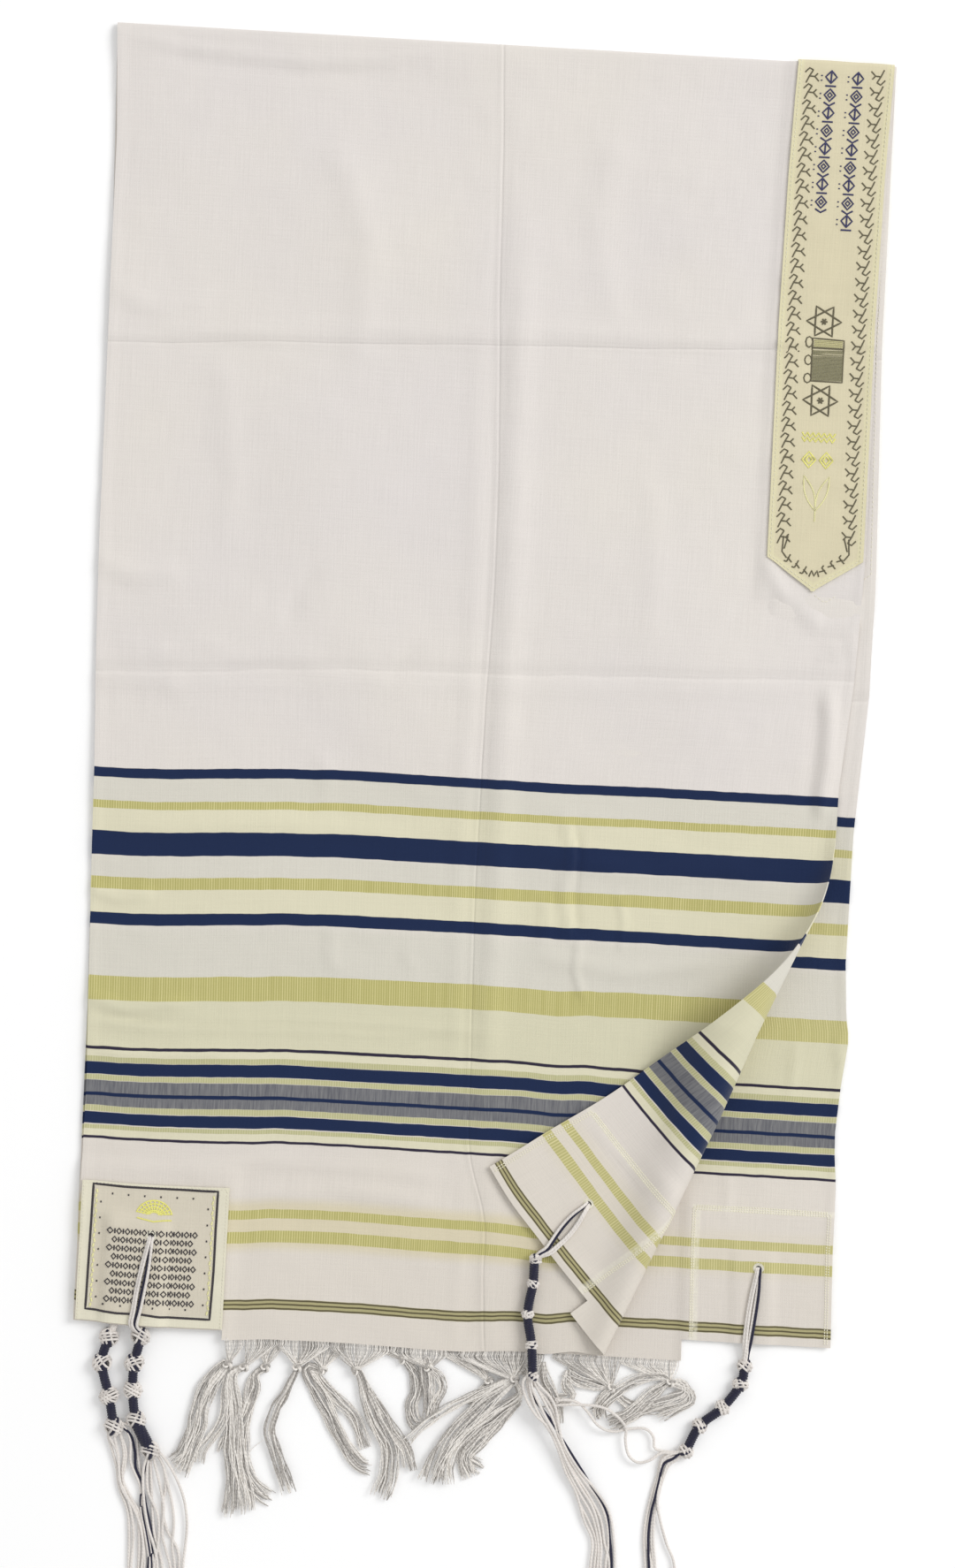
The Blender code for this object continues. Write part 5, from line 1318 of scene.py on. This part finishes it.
dice = np.random.default_rng(77)
for corner, (eyelet_u, eyelet_v) in EYELETS.items():
    _, sign, *_ = corner_span(corner)
    on_top, under = (ROW_FACE, ROW_REVERSE) if corner == "front_left" else (ROW_REVERSE, ROW_FACE)
    stem, way, level, steep = stem_frame(corner)
    knots = np.array(STEMS[corner]) * MM
    row_length = HEM_AT[corner] - 0.001 - abs(eyelet_v)
    strings = []
    for order in range(8):
        # four strings on each side of the cloth, from the eyelet to the hem
        column, top = order % 4, order < 4
        side, angle = column - 1.5, math.pi * (1 - (column + 0.5) / 4) * (1 if top else -1)
        share = ROW_MARKS / ROW_MARKS[-1]
        run = share * row_length
        offset = side * (0.0009 + 0.0008 * soft(share / 0.4) - 0.0001 * soft((share - 0.7) / 0.3))
        offset += math.copysign(ROW_OPENS[corner], side) * np.sin(math.pi * np.clip(share * 1.05 - 0.02, 0, 1))
        offset += 0.0002 * np.sin(5 * share + order)
        lift = on_top + math.copysign(0.0009 * (column % 2), on_top) if top else under
        row = lay(eyelet_u + (ROW_ENDS[corner] - eyelet_u) * share + offset, eyelet_v + sign * run,
                  lift * soft((run + 0.0006) / 0.0042))
        # on along the stem, inside its windings
        turn = (angle + np.linspace(0, 2.4, len(stem)))[:, None]
        around = stem + STEM_REACH * (np.cos(turn) * level + np.sin(turn) * steep)
        # and loose from the last knot to the end
        kind, route = LOOSE_ROUTES[corner][(order - NAVY_ORDERS[corner]) % 8]
        route, stray, navy = np.array(route) * MM, kind.startswith("stray"), kind == "navy"
        if not stray:
            last = route[-1]
            for k, y in enumerate((-0.662, -0.690, dice.uniform(-0.722, -0.708))):
                wander = last[0] + (GATHER_X[corner] - last[0]) * (0.15, 0.25, 0.3)[k] + dice.uniform(-0.0022, 0.0022)
                route = np.vstack([route, (wander + (order - 3.5) * 0.0007 * (k + 1), y)])
        run = run_along(route) + 0.004
        stack = (0.0, 1.3, 0.6, 1.9)[order % 4] * (1 - 0.45 * soft((run - 0.03) / 0.06))
        height = (read_table(STRAY_HEIGHTS if stray else LOOSE_HEIGHTS[corner], run / MM) + stack) * MM - 0.0011
        height = np.maximum(height, 0.0012) + (0.0016 if kind == "stray2" else 0)
        path = smooth_run(np.vstack([row, around[3:-1:3], np.column_stack([route, height])]), 0.0026)
        path[:, 2] = np.maximum(path[:, 2], STRING_WIDE / 2 + 0.0001)
        yarn, slot = (STRING_NAVY, "navy_string") if navy else (STRING_WHITE, "string")
        piece = draw_yarn(f"tzitzit_{corner}_string_{order + 1}", [path], [STRING_WIDE / 2], yarn, 7)
        tail_way = path[-1] - path[-3]
        end_place = np.array([path[-1][0], path[-1][1], max(path[-1][2], 0.0022)])
        end_knot = knot_loops(end_place, tail_way, *END_KNOT, END_STRAND, 300 + order)
        tuft_end = end_place + tail_way / np.linalg.norm(tail_way) * TUFT_LENGTH
        tuft = [np.array([end_place, tuft_end + (dice.uniform(-0.0018, 0.0018), 0, -0.0008)]) for _ in range(6)]
        end_piece = draw_yarn(f"tzitzit_{corner}_end_{order + 1}", end_knot + tuft,
                              [END_STRAND] * len(end_knot) + [TUFT_STRAND] * len(tuft), yarn, 5)
        for part in (piece, end_piece):
            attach(part, "root")
        strings.append((piece, end_piece, path, navy))
    # the navy string wound round the others, from the first knot to the last
    wound = smooth_run(stem[nearest_to(stem, knots[0]):], WOUND_STEP)
    _, wound_level, wound_steep = sides_of(wound)
    share = np.linspace(0, 1, len(wound))
    turns = 2 * math.pi * np.arange(len(wound)) * WOUND_STEP / WOUND_PITCH
    girth = WOUND_GIRTH + (WOUND_SWELL * soft((share - 0.68) / 0.1) if corner == "front_left" else 0)
    coil = wound + (girth * np.cos(turns))[:, None] * wound_level + (girth * np.sin(turns))[:, None] * wound_steep
    coil[:, 2] = np.maximum(coil[:, 2], STRING_WIDE / 2)
    white_loops, navy_loops = [], [coil]
    for number, knot in enumerate(knots):
        bands = knot_bands(knot, way[nearest_to(stem, knot)], KNOT_SIZES[corner], STRING_WIDE / 2,
                           40 + 7 * number + len(corner))
        if number != 2:
            navy_loops.append(bands.pop(4))
        white_loops += bands
    winding = draw_yarn(f"tzitzit_{corner}_winding", navy_loops, [STRING_WIDE / 2] * len(navy_loops),
                        STRING_NAVY, 6)
    # one strand in three of the knots is painted darker, a painted shade for the dark lines between strands
    knot_piece = draw_yarn(f"tzitzit_{corner}_knots", white_loops, [KNOT_YARN] * len(white_loops), STRING_WHITE, 7,
                           strand_shades=[(0.0, 0.25, 0.0)[k % 3] for k in range(len(white_loops))])
    for piece, slot in ((winding, "navy_string"), (knot_piece, "string")):
        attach(piece, "root")
    exit_point = tuple(lay(eyelet_u, eyelet_v))
    for piece, end_piece, path, navy in strings:
        if navy:
            nodes = [f"tzitzit_{corner}_{part}" for part in ("loop", "stem", "strings")]
            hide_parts(*nodes, *(["tzitzit_back_right_stray"] if corner == "back_right" else []))


# ---- Knotted fringe --------------------------------------------------------------------------
# The warp of the cloth runs on past the ends between the hemmed corners: a fan of fine threads
# goes into each knot, and comes out of it as flat locks of soft unspun yarn with cut ends.

# the fringe yarn's dark second colour is painted shade: in its ply grooves, on darker strands and near the knots
FRINGE_YARN = thread_with_painted_shade("fringe yarn", seen_colour(255, 250, 243), seen_colour(96, 89, 84), twist=0.0030, sheen=0.4,
                            roughness=0.9)
LOCK_HEIGHTS = (0.0017, 0.0033, 0.0050)        # middles of the locks that lie on each other
HEADER_PITCH, LOCK_STEP = 0.00085, 0.0032      # between header threads, and between the points of a lock
KNOT_SIZE, KNOT_STRAND = (0.0042, 0.0030), 0.0008  # half width and half height of a knot, and its strand
HEADER_GIRTHS, LOCK_GIRTHS = (0.00026, 0.00038), (0.00034, 0.00056)  # thinnest and thickest half yarn
TASSELS = [  # layer, u of the fan, knot in millimetres, level
    ("front", 0.109, 0.123, (-160, -490), 1), ("front", 0.124, 0.146, (-148, -491), 1),
    ("back", 0.130, 0.152, (-133, -491), 0), ("front", 0.147, 0.184, (-110, -490), 1),
    ("back", 0.163, 0.196, (-92, -491), 0), ("front", 0.185, 0.228, (-68, -490), 1),
    ("back", 0.215, 0.245, (-34.5, -481), 0), ("front", 0.229, 0.274, (-16, -485.6), 1),
    ("back", 0.262, 0.300, (28, -494), 0), ("front", 0.284, 0.345, (46, -492), 2),
    ("back", 0.308, 0.345, (60, -493), 0), ("back", 0.352, 0.404, (116, -495), 0),
    ("back", 0.404, 0.447, (158, -489), 1)]
LOCKS = {  # tassel: yarns in each of its locks and the way of the lock, millimetres
    "fringe_front_01": [
        (9, [(-162.9, -489.4), (-172.2, -500.5), (-178.2, -513.9), (-181.7, -527.2), (-184.7, -541.6),
            (-190, -556.2), (-196.9, -562.4)]),
        (8, [(-161.2, -492.9), (-168.5, -503.9), (-175.8, -521), (-176.4, -534.1), (-180.9, -546.2),
            (-185.2, -558.3), (-190.6, -570.5)])],
    "fringe_front_02": [
        (9, [(-158.6, -497.5), (-156.6, -516.5), (-155.3, -533.2), (-155.7, -551.1), (-153.1, -568.9),
            (-153.1, -583.2), (-154.7, -599.9)]),
        (9, [(-155.6, -497.4), (-153, -516.4), (-151.4, -540.2), (-149.5, -556.8), (-145.1, -574.5),
            (-142.2, -586.3), (-141.7, -597)]),
        (6, [(-158.6, -497.5), (-160.1, -516.7), (-162.3, -531.1), (-169.2, -542.1), (-175.9, -552),
            (-177.9, -561.6)])],
    "fringe_back_03": [
        (9, [(-140.1, -496.7), (-139.7, -506.3), (-145.1, -520.8), (-147.5, -532.8), (-147.5, -547.1),
            (-145.7, -561.4), (-139.2, -574.2), (-131.7, -581), (-123.8, -585.5)]),
        (5, [(-142.4, -499.2), (-145.1, -520.8), (-150.4, -535.3), (-159.5, -545.3), (-162.7, -553.8)]),
        (1, [(-145.7, -532.8), (-143.7, -552.9), (-137.9, -547.9), (-132.1, -543.5)])],
    "fringe_front_04": [
        (7, [(-113.2, -497.7), (-118.8, -510.1), (-124.4, -520.5), (-127.7, -536.8), (-120.8, -556.8),
            (-111.6, -580.7)])],
    "fringe_back_05": [
        (10, [(-103.4, -491.1), (-90.2, -514.9), (-77, -538.7), (-64, -556.3), (-53.7, -559.9)]),
        (7, [(-95.1, -494.8), (-82.2, -510.5), (-67.5, -524), (-58.4, -546)])],
    "fringe_front_06": [
        (11, [(-64.7, -493.5), (-53.3, -523.4), (-42.3, -543.2), (-41.4, -563.5), (-46.7, -580.9)]),
        (7, [(-58.2, -503.4), (-40.8, -531), (-30.1, -544.7), (-26.3, -560.8)])],
    "fringe_back_07": [
        (8, [(-34.5, -480), (-25.2, -492.7), (-23.9, -504.4), (-27.2, -513.3), (-25.3, -523.4), (-20.7, -529)])],
    "fringe_front_08": [
        (8, [(-18.5, -479.3), (-16.4, -493.8), (-15, -508.3), (-13.6, -522.9)]),
        (6, [(-7.7, -492), (-5.1, -500.6), (-9.8, -511), (-12.2, -522.8)])],
    "fringe_back_09": [
        (4, [(27, -496), (20.5, -503), (13, -510.5)]),
        (10, [(49.9, -505.5), (38.7, -517.7), (30.3, -525.3), (19.1, -537.5), (12.4, -549.5), (17.4, -563.9)]),
        (8, [(50, -508.4), (36, -523.6), (26.3, -534.3), (13.8, -549.4), (25.8, -557.7)])],
    "fringe_front_10": [
        (12, [(43.5, -494.1), (29.5, -506.4), (18.2, -517.1), (4.3, -532.3), (-6.6, -550.3), (-13.1, -568.1)]),
        (8, [(49.7, -502.6), (34.1, -513.5), (18.6, -525.9), (6.1, -539.5), (0.2, -554.4), (0.8, -569)]),
        (5, [(41.9, -491.3), (20.5, -502.4), (0.6, -513.5), (-17.8, -527.4), (-29.7, -540.4)])],
    "fringe_back_11": [
        (6, [(66.2, -478.5), (68.2, -490.1), (73, -500.1), (77.9, -511.6), (78.3, -521.8)]),
        (6, [(83.9, -483.6), (82.9, -493.8), (87.7, -502.4), (77.6, -505.8)])],
    "fringe_back_12": [
        (7, [(113.6, -494), (101.9, -493), (91.5, -490.5), (82.5, -483.6)]),
        (7, [(115.1, -495.4), (109.6, -502.9), (108.5, -510.3), (104.3, -514.8)]),
        (6, [(117, -497), (126, -505), (138, -509), (150, -508.5), (158, -504)])],
    "fringe_back_13": [
        (9, [(157.1, -487.7), (141.7, -501.5), (129.1, -513.7), (114.7, -520.2)]),
        (5, [(160, -490), (171, -494), (173, -502), (163, -508), (150, -515)]),
        (8, [(165.9, -488.8), (168.4, -496), (157.7, -501.5), (143.4, -507.3), (129.1, -515.2), (117.8, -523)]),
        (7, [(151.2, -485), (132.3, -488.8), (118.2, -498.1), (108.4, -508.8), (108.8, -517.5)])]}


dice = np.random.default_rng(505)
for number, (layer, low_u, high_u, knot, level_number) in enumerate(TASSELS, 1):
    name = f"fringe_{layer}_{number:02d}"
    sign = 1 if layer == "front" else -1
    height = LOCK_HEIGHTS[level_number]
    knot = np.array([knot[0] * MM, knot[1] * MM, height + 0.0004])
    paths, girths, strand_shades = [], [], []
    # the fan of header threads
    count = int((high_u - low_u) / HEADER_PITCH)
    starts_u = np.linspace(low_u + 0.0004, high_u - 0.0004, count) + dice.uniform(-0.0003, 0.0003, count)
    start = lay(starts_u, np.full(count, sign * (HALF - 0.0016)))
    ahead = lay(starts_u, np.full(count, sign * (HALF + 0.0010)))
    middle = (low_u + high_u) / 2
    for k in range(count):
        lean = (starts_u[k] - middle) / (high_u - low_u) * 2
        crossing = -lean * 0.0020 + dice.uniform(-0.0006, 0.0006)
        target = knot + (crossing, dice.uniform(-0.0015, 0.0005), dice.uniform(-0.0006, 0.0010))
        hang = ahead[k] + (dice.uniform(-0.0006, 0.0006) - 0.0004 * lean, -0.0035 - 0.0015 * (1 - abs(lean)), 0)
        hang[2] = ahead[k][2] * 0.75 + target[2] * 0.25 + dice.uniform(0, 0.0005)
        shift = (dice.uniform(-0.0009, 0.0009) + 0.0010 * lean, dice.uniform(-0.0006, 0.0006),
                 dice.uniform(0, 0.0006))
        path = smooth_run([start[k], ahead[k], hang, hang * 0.45 + target * 0.55 + shift, target], 0.0026)
        path[:, 2] = np.maximum(path[:, 2], 0.0005)
        paths.append(path)
        girths.append(dice.uniform(*HEADER_GIRTHS))
        # some header threads are painted darker, a painted shade between the threads
        strand_shades.append(dice.choice((0.0, 0.0, 0.35)))
    # the knot
    knot_way = np.array(LOCKS[name][0][1][2]) * MM - knot[:2]
    loops = knot_loops(knot + (0, 0, 0.0003), knot_way, *KNOT_SIZE, KNOT_STRAND, 900 + number)
    # the knot's strands are painted darker one after another, a painted shade inside the knot
    for loop, dark in zip(loops, (0.0, 0.2, 0.5)):
        loop[:, 2] = np.maximum(loop[:, 2], 0.0009)
        paths.append(loop)
        girths.append(KNOT_STRAND)
        strand_shades.append(dark)
    # the locks
    for count, route in LOCKS[name]:
        route = np.array(route) * MM
        if count > 1 and 0.002 < np.linalg.norm(route[0] - knot[:2]) < 0.014:
            route = np.vstack([knot[:2], route])
        spine = smooth_run(np.column_stack([route, np.full(len(route), height)]), LOCK_STEP)
        run = np.linspace(0, 1, len(spine))
        level = sides_of(spine)[1]
        half = 0.0010 + count * 0.00042
        fibres = 2 * count + 2 if count > 1 else 1
        waves_along = run * len(spine) * LOCK_STEP / 0.011 * 2 * math.pi * 0.5
        narrow = 0.45 + 0.55 * soft(run / 0.35) + 0.18 * soft((run - 0.75) / 0.25)
        for k in range(fibres):
            place = (k + 0.5) / fibres * 2 - 1 if count > 1 else 0.0
            wave = dice.uniform(0, 2 * math.pi, 3)
            dice.uniform(-0.25, 0.25)          # nothing uses it, but the draws after it depend on it
            drift = np.sin(2 * math.pi * run * dice.uniform(0.4, 1.0) + wave[0]) * 0.45
            across = half * narrow * np.clip(place + drift * (1 - abs(place) * 0.6), -1.15, 1.15)
            across = across + 0.00035 * np.sin(waves_along + wave[1]) * soft(run * 8)
            up = 0.0009 * math.sqrt(1 - place ** 2) * np.sin(wave[2] + 2.2 * run) + dice.uniform(-0.0003, 0.0003)
            strand = spine + across[:, None] * level + up[:, None] * UP
            reach = max(int(round(len(strand) * dice.uniform(0.94, 1.0))), 4)
            strand = strand[:reach]
            strand[:, 2] = np.maximum(strand[:, 2], 0.0006)
            thick = np.full(reach, dice.uniform(*LOCK_GIRTHS) if count > 1 else 0.0003)
            thick[-1] *= 0.55
            paths.append(strand)
            girths.append(thick)
            # some strands of a lock, and all of them near the knot, are painted darker: painted shade between strands
            # and by the knot
            knot_shade_share = soft((0.10 - run[:reach]) / 0.1).mean()
            strand_shades.append(dice.choice((0.0, 0.0, 0.12, 0.45)) + 0.2 * knot_shade_share)
    tassel = draw_yarn(name + "_yarn", paths, girths, FRINGE_YARN, 5, strand_shades=strand_shades)
    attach(tassel, "root")
    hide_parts(name)


# ---- Sizes of the cut pieces -----------------------------------------------------------------
# The shawl is cut 0.555 m wide between its selvages and 1.87 m long with its fringe threads left
# out; the neckband is a strip of 0.069 x 0.76 m, and each patch a square of about 0.1 m.

for corner, (patch, work) in patch_work.items():
    *_, low_u, high_u = corner_span(corner)


# ---- Table, light and camera -----------------------------------------------------------------
# A plain pale table top, a wide soft lamp above the right shoulder, and a camera straight above.

TABLE_REACH, TABLE_Z = 4, -0.0004
LENS, SENSOR, CAMERA_Z = 85, 36, 1.127 * 85 / 36

table_mesh = bpy.data.meshes.new("table_top")
table_mesh.from_pydata([(x * TABLE_REACH, y * TABLE_REACH, TABLE_Z) for x, y in ((-1, -1), (1, -1), (1, 1), (-1, 1))],
                       [], [(0, 1, 2, 3)])
table_top = bpy.data.objects.new("table_top", table_mesh)
bpy.context.scene.collection.objects.link(table_top)
table_material = bpy.data.materials.new("pale table")
table_material.use_nodes = True
feed(table_material.node_tree, table_material.node_tree.nodes["Principled BSDF"], {
    "Base Color": (0.98, 0.98, 0.98, 1), "Roughness": 0.9, "Specular IOR Level": 0.1,
    "Emission Color": (1.0, 1.0, 1.0, 1), "Emission Strength": 0.05})
table_mesh.materials.append(table_material)

world = bpy.data.worlds.new("soft room")
world.use_nodes = True
feed(world.node_tree, world.node_tree.nodes["Background"], {"Color": (1.0, 1.0, 1.0, 1), "Strength": 0.70})
bpy.context.scene.world = world

lamp = bpy.data.lights.new("key_lamp", "AREA")
lamp.shape, lamp.size, lamp.energy = "SQUARE", 3.6, 290
key_lamp = bpy.data.objects.new("key_lamp", lamp)
key_lamp.location = (5.0, 2.9, 5.2)
key_lamp.rotation_euler = (-key_lamp.location).to_track_quat("-Z", "Y").to_euler()
bpy.context.scene.collection.objects.link(key_lamp)

camera_data = bpy.data.cameras.new("camera")
camera_data.sensor_fit = "VERTICAL"
camera_data.sensor_height, camera_data.lens, camera_data.clip_end = SENSOR, LENS, 20
camera = bpy.data.objects.new("camera", camera_data)
camera.location = (0.0008, -0.0658, CAMERA_Z)
camera.rotation_euler = (0, 0, math.radians(2.5))
bpy.context.scene.collection.objects.link(camera)
bpy.context.scene.camera = camera
bpy.context.scene.view_settings.view_transform = "Standard"
